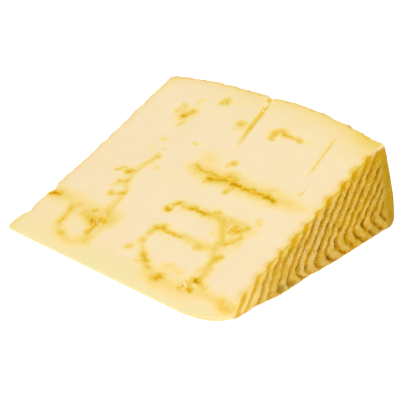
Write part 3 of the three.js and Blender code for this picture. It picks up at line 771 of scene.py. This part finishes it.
def spot(q, c, a, b, ang):
    ca, sa = math.cos(ang), math.sin(ang)
    d = q - np.array(c)
    u, v = d @ np.array([ca, sa]), d @ np.array([-sa, ca])
    return np.sqrt((u / a) ** 2 + (v / b) ** 2)


rough_low = 1 - smooth(0.55, 1.15, spot(q, (-32.6, 11.4), 3.6, 2.2, 0.25) + 0.25 * noise(tp, 1.4, 102))
rough_top = 1 - smooth(0.55, 1.1, spot(q, (2.9, 101.6), 1.7, 3.6, 0.1) + 0.25 * noise(tp, 1.2, 103))
rough_far = 1 - smooth(0.5, 1.1, spot(q, (22.8, 18.6), 1.6, 1.2, 0.0) + 0.25 * noise(tp, 1.2, 104))
rough_arc = 1 - smooth(0.5, 1.1, spot(q, (0.6, 38.4), 1.2, 1.0, 0.0) + 0.25 * noise(tp, 1.2, 105))
# painted highlights: small pale glints along the torn mouth of the long needle track
painted_glints = sum((1 - smooth(0.6, 1.1, spot(q, c_, 0.55, 0.8, 0.2))) for c_ in ((2.3, 102.6), (2.5, 99.6), (1.5, 97.0), (3.3, 101.0)))
ragged = np.clip(rough_low + 0.8 * rough_top + 0.7 * rough_far + 0.7 * rough_arc, 0, 1)
ca, sa = math.cos(0.62), math.sin(0.62)
along, across = (q[:, 0] * ca + q[:, 1] * sa), (-q[:, 0] * sa + q[:, 1] * ca)
# streak pattern that lifts the crumbly relief and also shapes the painted highlights on it
streaks_and_glint = noise(np.stack([along * 0.28, across, np.zeros_like(along)], 1), 0.75, 126)
lift = ragged * (0.50 * streaks_and_glint + 0.12 * crumbs - 0.05)
# small pits and closed eyes scattered in the paste
pits = smooth(0.66, 0.86, noise(tp, 2.6, 107)) * 0.16 + smooth(0.72, 0.9, noise(tp, 1.3, 108)) * 0.10
tdepth = tm["depth"] * 1.0 + pits * (1 - smooth(0.0, 0.4, tm["core"])) - lift
top_pos = tp - tdepth[:, None] * CUT_N

# ---- lower cut face: flat, same structure seen from the other cut
bot_poly = np.stack([bot_ring[:, 1], bot_ring[:, 0]], 1)


def want_bot(P):
    _, e = poly_sdf(P, bot_poly)
    w = np.where(e < 1.5, 0.6, np.where(e < 3.5, 1.0, 1.45))
    for pts, hw, hr, c in MARK_PTS:
        if c < 0.4:
            continue
        lo, hi = pts.min(0) - 4, pts.max(0) + 4
        m = np.where((P[:, 0] > lo[0]) & (P[:, 0] < hi[0]) & (P[:, 1] > lo[1]) & (P[:, 1] < hi[1]))[0]
        if len(m):
            d, _ = seg_dist(P[m], pts)
            w[m] = np.minimum(w[m], np.where(d < hw + 0.8, 0.6, np.where(d < hw + 2, 1.0, 1.45)))
    return w


bot_in = graded(bot_poly, want_bot, [1.45, 1.0, 0.6], rng, 0.62)
bot_tris = triangulate(bot_poly, bot_in)[:, ::-1]
by, bx = bot_in[:, 0], bot_in[:, 1]
bm = paste_marks(by, bx, seed=1)
_, bedge = poly_sdf(bot_in, bot_poly)
bz = np.clip(bm["depth"] - 0.22, 0, 1.2) * smooth(0.8, 2.0, bedge)
bot_pos = np.stack([bx, by, bz], 1)

# ---- side ring, unrolled as (U, height)
cut = 0
base_h = ring_point(UB, np.ones(NB))[1]
h_nom = np.array([max(v, 0.6) for v in (ztop(base_h["x"], base_h["y"]))])
UBc = np.concatenate([UB, [TOTAL]])
h_c = np.concatenate([h_nom, [h_nom[0]]])


def height_at(U):
    return np.interp(U, UBc, h_c)


# the seam runs up the near corner of the thin edge, where stretch 0 begins
n_side = max(int(round(h_nom[0] / 0.45)), 3)
side_v = np.arange(1, n_side) / n_side
left = np.stack([np.zeros(n_side - 1), side_v * h_nom[0]], 1)
right = np.stack([np.full(n_side - 1, TOTAL), side_v * h_nom[0]], 1)
ring_poly = np.concatenate([
    np.stack([UBc, np.zeros(NB + 1)], 1),
    right,
    np.stack([UBc[::-1], h_c[::-1]], 1),
    left[::-1],
])


def want_ring(P):
    U = P[:, 0]
    k = np.clip(np.searchsorted(CUM, U, side="right") - 1, 0, 7)
    w = np.array([0.46, 0.46, 0.66, 0.66, 0.60, 0.60, 0.60, 0.46])[k]
    return w


ring_in = graded(ring_poly, want_ring, [0.66, 0.60, 0.46], rng, 0.60)
v_in = ring_in[:, 1] / height_at(ring_in[:, 0])
ring_in = ring_in[(v_in > 0.002) & (v_in < 0.998)]
v_in = ring_in[:, 1] / height_at(ring_in[:, 0])
ring_tris = triangulate(ring_poly, ring_in)
ring_pos, ring_info = ring_point(ring_in[:, 0], v_in)
seam_pos, seam_info = ring_point(np.zeros(n_side - 1), side_v)

# ------------------------------------------------------------------ weld
# vertex list: top ring, bottom ring, seam, top inner, bottom inner, ring inner
off_top, off_bot = 0, NB
off_seam = 2 * NB
off_ti = off_seam + (n_side - 1)
off_bi = off_ti + len(top_in)
off_ri = off_bi + len(bot_in)
verts = np.concatenate([top_ring, bot_ring, seam_pos, top_pos, bot_pos, ring_pos])


def remap_simple(tris, n_border, border_off, inner_off):
    return np.where(tris < n_border, tris + border_off, tris - n_border + inner_off)


T_top = remap_simple(top_tris, NB, off_top, off_ti)
T_bot = remap_simple(bot_tris, NB, off_bot, off_bi)
n_rp = len(ring_poly)
ring_map = np.concatenate([
    off_bot + np.arange(NB), [off_bot],
    off_seam + np.arange(n_side - 1),
    [off_top], off_top + np.arange(NB)[::-1],
    off_seam + np.arange(n_side - 1)[::-1],
])
ring_map = np.concatenate([ring_map, off_ri + np.arange(len(ring_in))])
T_ring = ring_map[ring_tris]
good = (T_ring[:, 0] != T_ring[:, 1]) & (T_ring[:, 1] != T_ring[:, 2]) & (T_ring[:, 2] != T_ring[:, 0])
ring_tris, T_ring = ring_tris[good], T_ring[good]

faces = np.concatenate([T_top, T_bot, T_ring])
# outward winding, patch by patch
vol = np.einsum("ij,ij->i", verts[faces[:, 0]], np.cross(verts[faces[:, 1]], verts[faces[:, 2]])).sum() / 6


def mean_normal(T):
    n = np.cross(verts[T[:, 1]] - verts[T[:, 0]], verts[T[:, 2]] - verts[T[:, 0]])
    return n.sum(0)


flip_top = mean_normal(T_top)[2] < 0
flip_bot = mean_normal(T_bot)[2] > 0
near_sel = (T_ring >= off_ri).all(1)
c = verts[T_ring].mean(1)
nn = np.cross(verts[T_ring[:, 1]] - verts[T_ring[:, 0]], verts[T_ring[:, 2]] - verts[T_ring[:, 0]])
flip_ring = (nn[:, 0] * (c[:, 0] - 55) + nn[:, 1] * c[:, 1]).sum() < 0
if flip_top:
    T_top = T_top[:, ::-1]; top_tris = top_tris[:, ::-1]
if flip_bot:
    T_bot = T_bot[:, ::-1]; bot_tris = bot_tris[:, ::-1]
if flip_ring:
    T_ring = T_ring[:, ::-1]; ring_tris = ring_tris[:, ::-1]
faces = np.concatenate([T_top, T_bot, T_ring])

# ------------------------------------------------------------------ painting masks
NV = len(verts)
A = {n: np.zeros(NV) for n in ("core", "tone", "halo", "htone", "track", "band", "rim", "glow", "rind", "valley", "wide", "fade", "cut", "ragged", "streaks_and_glint", "warm", "dark", "tan", "gold", "pale", "lip")}


def put(name, off, arr):
    A[name][off:off + len(arr)] = arr


def paste_common(off, y, r, masks, edge, x):
    for n in ("core", "tone", "halo", "htone", "track"):
        put(n, off, masks[n])
    put("cut", off, np.ones(len(y)))
    p = np.stack([r, y, np.zeros_like(y)], 1)
    wob = 0.9 * noise(p, 14, 111) + 0.5 * noise(p, 5, 112)
    put("band", off, 1 - smooth(7.2, 11.6, r + wob))
    # yellowing under the rind: wide along the rim, narrow beside the two ends
    rimd = rim_x(y, np.full_like(y, 40.0)) * RS
    drim = np.clip(rimd - r, 0, None)
    dnear, dfar = y + HALF, HALF - y
    k = 0.95 * np.exp(-(drim / (0.8 + 1.3 * np.exp(-((y + 47) / 5.0) ** 2) + 0.9 * np.exp(-((y + 37) / 1.3) ** 2))))
    k = np.maximum(k, 0.75 * np.exp(-np.clip(edge, 0, None) / 0.7) * smooth(6, 14, r))
    put("rim", off, np.clip(k, 0, 1))
    g = 0.80 * np.exp(-drim / (2.8 + 0.8 * noise(p, 9, 113))) + 0.30 * np.exp(-(drim / 15.0) ** 1.5) * smooth(60, -10, y)
    corner = np.exp(-(np.hypot(drim * 1.1, dnear * 0.55) / 9.0) ** 2)
    g = 1 - (1 - np.clip(g, 0, 1)) * (1 - 0.85 * corner)
    farc = np.exp(-(np.hypot(drim, dfar) / 6.0) ** 2)
    g = 1 - (1 - np.clip(g, 0, 1)) * (1 - 0.5 * farc)
    patchy = np.clip(0.62 + 0.55 * noise(p, 6.0, 115), 0.1, 1.1)
    g = np.maximum(g, 0.85 * patchy * np.exp(-np.clip(dfar, 0, None) / (1.5 + 0.6 * noise(p, 5, 116))))
    low_c = np.exp(-(((dnear - 2.4) / 3.2) ** 2 + ((r - 9.2) / 3.2) ** 2))
    g = 1 - (1 - np.clip(g, 0, 1)) * (1 - 0.95 * low_c)
    A["rim"][off:off + len(y)] = np.maximum(A["rim"][off:off + len(y)], 0.34 * low_c ** 1.5)
    g = np.maximum(g, lerp(0.45, 0.9, smooth(35, 85, r)) * patchy * np.exp(-np.clip(dnear, 0, None) / (2.2 + 0.9 * noise(p, 4, 117))))
    put("glow", off, np.clip(g, 0, 1))
    put("warm", off, 0.5 + 0.5 * noise(p, 22, 114))


paste_common(off_ti, ty, top_in[:, 1], tm, tedge, tx)
put("ragged", off_ti, ragged)
# painted highlights on the torn spots: pale streaks and glints
put("streaks_and_glint", off_ti, np.clip(1.2 * ragged * smooth(-0.12, 0.22, streaks_and_glint) + painted_glints, 0, 1))
A["core"][off_ti:off_ti + len(ty)] *= 1 - 0.5 * ragged
bmask = dict(bm)
paste_common(off_bi, by, bx, bmask, bedge, bx)

# yellow nubs where each crest meets the cut
nub_n = np.exp(-(np.clip(tedge, 0, None) / (1.5 + 0.5 * noise(tp, 2.4, 127))) ** 1.5) * smooth(-48.5, -51.5, ty)
ridge_here = near_marks(tx, tz, np.stack([tx, np.full_like(tx, -HALF), tz], 1))
nub_far = np.exp(-np.clip(tedge, 0, None) / 2.2) * smooth(-47, -52, ty) * smooth(20, 60, tx)
A["rim"][off_ti:off_ti + len(ty)] = np.maximum(A["rim"][off_ti:off_ti + len(ty)], lerp(0.6, 0.95, smooth(25, 70, tx)) * nub_n * (0.2 + 0.8 * ridge_here[0][:, 1]))
A["glow"][off_ti:off_ti + len(ty)] = np.maximum(A["glow"][off_ti:off_ti + len(ty)], 0.7 * nub_n + 0.35 * nub_far)

# pale lip along the cut at the outer near corner
lip = np.exp(-(np.clip(tedge, 0, None) / (0.8 + 0.3 * noise(tp, 2.0, 130))) ** 2) * smooth(-46, -50, ty) * smooth(83, 92, top_in[:, 1] / RS)
put("lip", off_ti, lip)

# borders
for off, ring, info in ((off_top, top_ring, top_info), (off_bot, bot_ring, bot_info)):
    r = ring[:, 0] * (RS if off == off_top else 1.0)
    mk = paste_marks(ring[:, 1], r, seed=0 if off == off_top else 1)
    for n in ("core", "tone", "halo", "htone", "track"):
        put(n, off, mk[n])
    put("cut", off, 1 - 0.62 * info["rind"])
    put("rind", off, 0.62 * info["rind"])
    lip_b = smooth(83, 92, ring[:, 0]) * smooth(-46, -50, ring[:, 1]) if off == off_top else np.zeros(len(r))
    put("lip", off, lip_b)
    pale_b = (smooth(30, 14, ring[:, 0]) * (info["k"] == 0)) if off == off_top else np.zeros(len(r))
    put("rim", off, np.clip(0.95 * info["rind"] * (1 - 0.85 * pale_b), 0, 1))
    put("valley", off, info["valley"] * (1 - 0.8 * pale_b) * np.where(info["k"] <= 1, 0.3, 1.0))
    put("wide", off, info["wide"] * (1 - 0.6 * pale_b))
    put("pale", off, pale_b)
    p = np.stack([r, ring[:, 1], np.zeros(len(r))], 1)
    put("band", off, 1 - smooth(7.2, 11.6, r + 0.9 * noise(p, 14, 111) + 0.5 * noise(p, 5, 112)))
    put("warm", off, 0.5 + 0.5 * noise(p, 22, 114))

for off, info, pos in ((off_seam, seam_info, seam_pos), (off_ri, ring_info, ring_pos)):
    put("rind", off, info["rind"])
    put("cut", off, 1 - info["rind"])
    put("valley", off, info["valley"] * (1 - 0.75 * np.exp(-(info["up"] / 5.0) ** 2) * (info["k"] <= 1)))
    put("wide", off, info["wide"])
    put("fade", off, info["fade"])
    put("rim", off, 0.10 * (1 - info["rind"]) + 0.65 * info["rind"] * np.clip(1 - info["up"] / 0.8, 0, 1))
    put("glow", off, np.clip(1.1 * np.exp(-(info["up"] / (2.6 + 1.3 * noise(pos, 3.0, 124))) ** 2), 0, 1) * (info["k"] <= 1))
    under = np.exp(-(((info["x"] - 92) / 6.0) ** 2 + ((info["up"] - 3.0) / 3.4) ** 2)) * (info["k"] <= 1)
    A["glow"][off:off + len(pos)] = np.maximum(A["glow"][off:off + len(pos)], 0.9 * under)
    A["fade"][off:off + len(pos)] *= 1 - 0.7 * under
    A["wide"][off:off + len(pos)] = np.maximum(A["wide"][off:off + len(pos)], 0.9 * under)
    pale = smooth(30, 14, info["x"] + 2.0 * noise(pos, 5.0, 129)) * (info["k"] == 0)
    fringe = 0.60 * (1 - smooth(0.3, 2.2, info["up"] + 0.7 * noise(pos, 2.0, 131))) * smooth(54, 34, info["x"]) * (info["k"] == 0)
    put("pale", off, np.maximum(pale, fringe))
    A["rim"][off:off + len(pos)] *= 1 - 0.75 * pale
    put("lip", off, smooth(84, 92, info["x"]) * (1 - smooth(0.2, 1.1, info["up"] + 0.4 * noise(pos, 1.6, 132))) * (info["k"] <= 1))
    put("gold", off, np.where(info["k"] <= 1, smooth(45, 82, info["x"]), 0.4))
    put("tan", off, smooth(62, 26, info["x"]) * smooth(17, 7, info["z"] + 2.5 * noise(pos, 4.0, 125)) * (info["k"] == 0))
    put("band", off, 1 - smooth(8, 13, info["x"]))
    p = pos
    put("warm", off, 0.5 + 0.5 * noise(p, 12, 121))
    # dull olive brown bruises low on the near end, a darker strip along its foot and towards its outer end, and some
    # on the hidden sides
    b = np.zeros(len(p))
    for (cx, cz, rx, rz, s) in ((33.0, 2.2, 2.6, 1.7, 1.0), (39.2, 1.6, 3.0, 1.3, 0.85), (43.8, 5.6, 1.8, 1.5, 0.6), (48.2, 3.6, 1.2, 1.8, 0.6),
                                (12.0, 0.8, 2.4, 0.8, 0.35), (22.0, 0.9, 1.8, 0.9, 0.5), (47.0, 0.8, 3.0, 0.9, 0.5), (89.0, 3.2, 4.5, 1.2, 0.5), (64.0, 1.4, 6.0, 1.0, 0.35)):
        d = np.sqrt(((info["x"] - cx) / rx) ** 2 + ((info["z"] - cz) / rz) ** 2)
        b = np.maximum(b, s * (1 - smooth(0.4, 1.3, d + 0.25 * noise(p, 1.6, 122))) * (info["k"] <= 1))
    # darker towards the foot of the near end
    b = np.maximum(b, 0.42 * np.clip(1 - info["z"] / 3.2, 0, 1) * (0.7 + 0.6 * noise(p, 4.0, 128)) * (info["k"] <= 1) * info["rind"] * lerp(0.35, 1.0, smooth(14, 28, info["x"])))
    # darker towards the outer end of the near end, and low down on its outer half
    b = np.maximum(b, (0.24 * smooth(83, 91, info["x"]) + 0.20 * np.clip(1 - info["z"] / 8.0, 0, 1) * smooth(40, 58, info["x"])) * (info["k"] <= 1))
    b = np.maximum(b, smooth(0.45, 0.85, noise(p, 9.0, 123)) * 0.8 * (info["k"] >= 2) * info["rind"])
    put("dark", off, b)

# ------------------------------------------------------------------ mesh object
co = verts.copy()
co[:, 0] += XS
co *= 0.001
me = bpy.data.meshes.new("cheese")
me.vertices.add(NV)
me.vertices.foreach_set("co", co.astype(np.float32).ravel())
me.loops.add(len(faces) * 3)
me.loops.foreach_set("vertex_index", faces.astype(np.int32).ravel())
me.polygons.add(len(faces))
me.polygons.foreach_set("loop_start", np.arange(0, len(faces) * 3, 3, dtype=np.int32))
me.polygons.foreach_set("use_smooth", np.ones(len(faces), bool))
me.update(calc_edges=True)
me.validate(verbose=False)
for n, arr in A.items():
    a = me.attributes.new("m_" + n, "FLOAT", "POINT")
    a.data.foreach_set("value", np.clip(arr, 0, 1).astype(np.float32))

# own unwrapped layout for the colours: both cuts and the four stretches of the side
uv = me.uv_layers.new(name="OFBake")
SHEET = 232.0


def at(P, ox, oy):
    return (P + np.array([ox, oy])) / SHEET


tp_all = np.concatenate([top_poly, top_in])
bp_all = np.concatenate([bot_poly, bot_in])
rp_all = np.concatenate([ring_poly, ring_in])
uv_top = at((tp_all * np.array([-1, 1]))[top_tris.ravel()], HALF + 4, 3)
uv_bot = at(bp_all[bot_tris.ravel()], HALF + 118, 3)
rc = rp_all[ring_tris].mean(1)[:, 0]
ruv = rp_all[ring_tris]
res = np.zeros_like(ruv)
b1 = CUM[1] + LEN[1] / 2
b2 = CUM[3] + LEN[3] / 2
b3 = CUM[5] + LEN[5] / 2
for lo_, hi_, ox, oy, sy in ((0, b1, 3, 116, 1.0), (b1, b2, 100 - b1, 116, 1.0), (b2, b3, 3 - b2, 164, 1.0), (b3, TOTAL + 1, 108 - b3, 164, 2.2)):
    m = (rc >= lo_) & (rc < hi_)
    res[m] = at(ruv[m] * np.array([1.0, sy]), ox, oy)
uvs = np.concatenate([uv_top, uv_bot, res.reshape(-1, 2)])
uv.data.foreach_set("uv", uvs.astype(np.float32).ravel())

wedge = bpy.data.objects.new("cheese_wedge_paste_and_rind", me)
bpy.context.scene.collection.objects.link(wedge)
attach(wedge, "root")
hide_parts("cheese_wedge")
print("MESH", NV, len(faces), "top", len(T_top), "bottom", len(T_bot), "ring", len(T_ring))

# ------------------------------------------------------------------ material


def lin(r, g, b):
    f = lambda c: (c / 255 / 12.92) if c / 255 <= 0.04045 else ((c / 255 + 0.055) / 1.055) ** 2.4
    return (f(r), f(g), f(b), 1.0)


mat = bpy.data.materials.new("cheese")
mat.use_nodes = True
nt = mat.node_tree
nt.nodes.clear()
N, L = nt.nodes, nt.links


def attr(name):
    n = N.new("ShaderNodeAttribute")
    n.attribute_type = "GEOMETRY"
    n.attribute_name = "m_" + name
    return n.outputs["Fac"]


def mixc(fac, a, b, mode="MIX"):
    n = N.new("ShaderNodeMix")
    n.data_type = "RGBA"
    n.blend_type = mode
    n.clamp_factor = True
    for sock, v in ((n.inputs[0], fac), (n.inputs[6], a), (n.inputs[7], b)):
        if isinstance(v, (tuple, float, int)):
            sock.default_value = v
        else:
            L.new(v, sock)
    return n.outputs[2]


def math_(op, a, b=None, c=None, clamp=False):
    n = N.new("ShaderNodeMath")
    n.operation = op
    n.use_clamp = clamp
    for i, v in enumerate((a, b, c)):
        if v is None:
            continue
        if isinstance(v, (float, int)):
            n.inputs[i].default_value = v
        else:
            L.new(v, n.inputs[i])
    return n.outputs[0]


coord = N.new("ShaderNodeTexCoord").outputs["Object"]


def tex_noise(scale, detail=3.0, rough=0.55, dist=0.0, vec=None):
    n = N.new("ShaderNodeTexNoise")
    n.inputs["Scale"].default_value = scale
    n.inputs["Detail"].default_value = detail
    n.inputs["Roughness"].default_value = rough
    n.inputs["Distortion"].default_value = dist
    L.new(vec if vec is not None else coord, n.inputs["Vector"])
    return n.outputs["Fac"]


def ramp(fac, lo, hi, smooth_=True):
    n = N.new("ShaderNodeMapRange")
    n.interpolation_type = "SMOOTHSTEP" if smooth_ else "LINEAR"
    n.clamp = True
    n.inputs["From Min"].default_value = lo
    n.inputs["From Max"].default_value = hi
    L.new(fac, n.inputs["Value"])
    return n.outputs["Result"]


core, tone, halo, htone = attr("core"), attr("tone"), attr("halo"), attr("htone")
track, band, rimm, glow, rind = attr("track"), attr("band"), attr("rim"), attr("glow"), attr("rind")
valley, wide, fade, ragm = attr("valley"), attr("wide"), attr("fade"), attr("ragged")
warm, dark, tan, glint_streak_mask, goldm = attr("warm"), attr("dark"), attr("tan"), attr("streaks_and_glint"), attr("gold")
palem, lipm = attr("pale"), attr("lip")
n_patch = tex_noise(320, 4, 0.6)

n_cloud = tex_noise(45, 3, 0.5)
n_mott = tex_noise(170, 4, 0.6)
n_fine = tex_noise(900, 3, 0.6)
n_grain = tex_noise(2600, 2, 0.5)
n_spk = tex_noise(1500, 2, 0.65)

# paste
paste = mixc(warm, lin(246, 225, 188), lin(246, 226, 183))
paste = mixc(ramp(n_cloud, 0.35, 0.7), paste, lin(247, 223, 181))
paste = mixc(math_("MULTIPLY", ramp(n_mott, 0.45, 0.75), 0.35), paste, lin(250, 231, 198))
paste = mixc(math_("MULTIPLY", ramp(n_fine, 0.58, 0.78), 0.16), paste, lin(236, 204, 140))
paste = mixc(math_("MULTIPLY", band, 0.9), paste, lin(240, 225, 168))
paste = mixc(glow, paste, lin(240, 213, 108))
paste = mixc(math_("MULTIPLY", rimm, 0.92), paste, lin(226, 188, 54))
grit = math_("ADD", math_("MULTIPLY", math_("SUBTRACT", n_fine, 0.5), 0.9), math_("MULTIPLY", math_("SUBTRACT", n_mott, 0.5), 0.5))
stain = math_("MAXIMUM", math_("MULTIPLY", halo, 0.37), math_("MULTIPLY", track, 0.78))
stain = math_("ADD", stain, math_("MULTIPLY", core, math_("ADD", 0.43, math_("MULTIPLY", tone, 0.15))))
stain = math_("ADD", stain, math_("MULTIPLY", grit, ramp(stain, 0.05, 0.6)), clamp=True)
path = N.new("ShaderNodeValToRGB")
el_ = path.color_ramp.elements
el_[0].position, el_[0].color = 0.0, lin(248, 226, 173)
el_[1].position, el_[1].color = 1.0, lin(184, 132, 0)
for pos, col in ((0.12, (246, 221, 152)), (0.27, (242, 213, 125)), (0.41, (239, 204, 96)), (0.54, (236, 194, 66)), (0.66, (229, 181, 32)), (0.78, (220, 166, 8)), (0.90, (206, 151, 0))):
    e = el_.new(pos)
    e.color = lin(*col)
L.new(stain, path.inputs["Fac"])
paste = mixc(ramp(stain, 0.0, 0.10, False), paste, path.outputs["Color"])
core_n = ramp(core, 0.3, 0.9)
# painted highlight: pale streaks and glints over the torn spots
paste = mixc(math_("MULTIPLY", glint_streak_mask, 0.95), paste, lin(250, 232, 172))

# rind: pale crests, golden troughs, brown at the bottom of the troughs
crest = mixc(ramp(n_patch, 0.42, 0.62), lin(222, 190, 112), lin(208, 168, 54))
crest = mixc(math_("MULTIPLY", ramp(n_fine, 0.5, 0.7), 0.5), crest, lin(236, 208, 128))
skin = mixc(ramp(n_mott, 0.3, 0.7), lin(202, 158, 2), lin(184, 142, 0))
rindc = mixc(fade, skin, crest)
gold = mixc(ramp(n_mott, 0.35, 0.65), lin(212, 160, 0), lin(194, 142, 0))
rindc = mixc(ramp(math_("ADD", wide, math_("MULTIPLY", math_("SUBTRACT", n_fine, 0.5), 0.35)), 0.2, 0.8), rindc, gold)
val_col = mixc(ramp(n_mott, 0.4, 0.65), lin(166, 108, 0), lin(134, 82, 0))
rindc = mixc(ramp(math_("ADD", valley, math_("MULTIPLY", math_("SUBTRACT", n_spk, 0.5), 0.9)), 0.15, 0.80), rindc, val_col)
rindc = mixc(math_("MULTIPLY", ramp(n_spk, 0.54, 0.70), 0.34), rindc, lin(236, 206, 110))
rindc = mixc(math_("MULTIPLY", ramp(n_spk, 0.46, 0.32), 0.42), rindc, lin(166, 122, 4))
specks = ramp(n_fine, 0.68, 0.74)
rindc = mixc(math_("MULTIPLY", specks, 0.7), rindc, lin(112, 76, 8))
rindc = mixc(math_("MULTIPLY", goldm, 0.75), rindc, lin(252, 246, 168), "MULTIPLY")
rindc = mixc(math_("MULTIPLY", tan, 0.45), rindc, lin(228, 188, 76))
no_wide = math_("SUBTRACT", 1.0, wide, clamp=True)
rindc = mixc(math_("MULTIPLY", math_("MULTIPLY", palem, no_wide), 0.85), rindc, lin(246, 221, 146))
rindc = mixc(math_("MULTIPLY", math_("MULTIPLY", palem, wide), 0.72), rindc, lin(236, 194, 70))
crest_lip = math_("MULTIPLY", glow, math_("SUBTRACT", 1.0, wide, clamp=True))
rindc = mixc(math_("MULTIPLY", crest_lip, math_("ADD", 0.05, math_("MULTIPLY", n_patch, 0.8))), rindc, lin(237, 202, 80))
rindc = mixc(math_("MULTIPLY", math_("MULTIPLY", glow, wide), math_("ADD", 0.35, math_("MULTIPLY", n_patch, 0.7))), rindc, lin(222, 170, 6))
rindc = mixc(math_("MULTIPLY", dark, 0.7), rindc, lin(146, 116, 30))
base = mixc(ramp(rind, 0.25, 0.8), paste, rindc)
base = mixc(math_("MULTIPLY", lipm, 0.8), base, lin(246, 230, 184))

# relief: knife drag and grain on the cuts, dry pores on the rind
stretch = N.new("ShaderNodeMapping")
stretch.inputs["Scale"].default_value = (0.35, 1.0, 0.35)
stretch.inputs["Rotation"].default_value = (0, 0, 0.5)
L.new(coord, stretch.inputs["Vector"])
drag = tex_noise(420, 3, 0.5, vec=stretch.outputs["Vector"])
h_cut = math_("ADD", math_("MULTIPLY", drag, 0.00012), math_("MULTIPLY", n_fine, 0.00010))
h_rind = math_("ADD", math_("MULTIPLY", n_fine, 0.00028), math_("MULTIPLY", n_grain, 0.00010))
mixh = N.new("ShaderNodeMix"); mixh.data_type = "FLOAT"
L.new(rind, mixh.inputs[0]); L.new(h_cut, mixh.inputs[2]); L.new(h_rind, mixh.inputs[3])
hgt = math_("ADD", mixh.outputs[0], math_("MULTIPLY", core_n, -0.00013))
bump = N.new("ShaderNodeBump")
bump.inputs["Strength"].default_value = 0.55
bump.inputs["Distance"].default_value = 1.0
L.new(hgt, bump.inputs["Height"])

r_cut = math_("ADD", 0.40, math_("MULTIPLY", n_mott, 0.16))
r_rind = math_("ADD", 0.50, math_("MULTIPLY", n_fine, 0.2))
mixr = N.new("ShaderNodeMix"); mixr.data_type = "FLOAT"
L.new(rind, mixr.inputs[0]); L.new(r_cut, mixr.inputs[2]); L.new(r_rind, mixr.inputs[3])

bsdf = N.new("ShaderNodeBsdfPrincipled")
L.new(base, bsdf.inputs["Base Color"])
L.new(mixr.outputs[0], bsdf.inputs["Roughness"])
L.new(bump.outputs["Normal"], bsdf.inputs["Normal"])
bsdf.inputs["Subsurface Weight"].default_value = 0.35
bsdf.inputs["Subsurface Radius"].default_value = (0.0035, 0.0022, 0.0009)
bsdf.inputs["Subsurface Scale"].default_value = 1.0
bsdf.inputs["IOR"].default_value = 1.42
bsdf.inputs["Specular IOR Level"].default_value = 0.04
out = N.new("ShaderNodeOutputMaterial")
L.new(bsdf.outputs["BSDF"], out.inputs["Surface"])
me.materials.append(mat)

# ------------------------------------------------------------------ floor, light, camera
fm = bpy.data.materials.new("floor")
fm.use_nodes = True
fb = fm.node_tree.nodes["Principled BSDF"]
fb.inputs["Base Color"].default_value = (0.45, 0.45, 0.45, 1)
fb.inputs["Roughness"].default_value = 0.85
fb.inputs["Specular IOR Level"].default_value = 0.1
fb.inputs["Emission Color"].default_value = (1, 1, 1, 1)
fb.inputs["Emission Strength"].default_value = 0.78
fmesh = bpy.data.meshes.new("floor")
s = 6.0
fmesh.from_pydata([(-s, -s, 0), (s, -s, 0), (s, s, 0), (-s, s, 0)], [], [(0, 1, 2, 3)])
fmesh.materials.append(fm)
floor = bpy.data.objects.new("floor", fmesh)
floor.location.z = -0.00002
bpy.context.scene.collection.objects.link(floor)

world = bpy.data.worlds.new("studio")
world.use_nodes = True
bg = world.node_tree.nodes["Background"]
bg.inputs["Color"].default_value = (1, 1, 1, 1)
bg.inputs["Strength"].default_value = 0.63
bpy.context.scene.world = world


def area(name, loc, target, size, power, color=(1, 1, 1)):
    d = bpy.data.lights.new(name, "AREA")
    d.shape = "DISK"
    d.size = size
    d.energy = power
    d.color = color
    o = bpy.data.objects.new(name, d)
    o.location = loc
    o.rotation_mode = "QUATERNION"
    o.rotation_quaternion = (Vector(target) - Vector(loc)).to_track_quat("-Z", "Y")
    bpy.context.scene.collection.objects.link(o)
    return o


area("key", (-0.55, -0.35, 1.15), (0, 0, 0.02), 0.9, 7.0)
area("fill", (0.5, -0.9, 0.7), (0, 0, 0.02), 0.9, 1.0)

# camera: 105 mm on a 36 mm sensor
az, el, dist = -0.8162, 0.44104, 0.47997
target = Vector((0.070334 + XS * 0.001, 0.018323, 0.0))
back = Vector((math.sin(az) * math.cos(el), -math.cos(az) * math.cos(el), math.sin(el)))
cam_d = bpy.data.cameras.new("camera")
cam_d.lens = 105
cam_d.sensor_width = 36
cam_d.sensor_fit = "HORIZONTAL"
cam_d.clip_start, cam_d.clip_end = 0.02, 20
cam = bpy.data.objects.new("camera", cam_d)
cam.location = target + back * dist
cam.rotation_mode = "QUATERNION"
cam.rotation_quaternion = (-back).to_track_quat("-Z", "Y")
bpy.context.scene.collection.objects.link(cam)
bpy.context.scene.camera = cam

bpy.context.scene.view_settings.view_transform = "Standard"
bpy.context.scene.view_settings.look = "None"
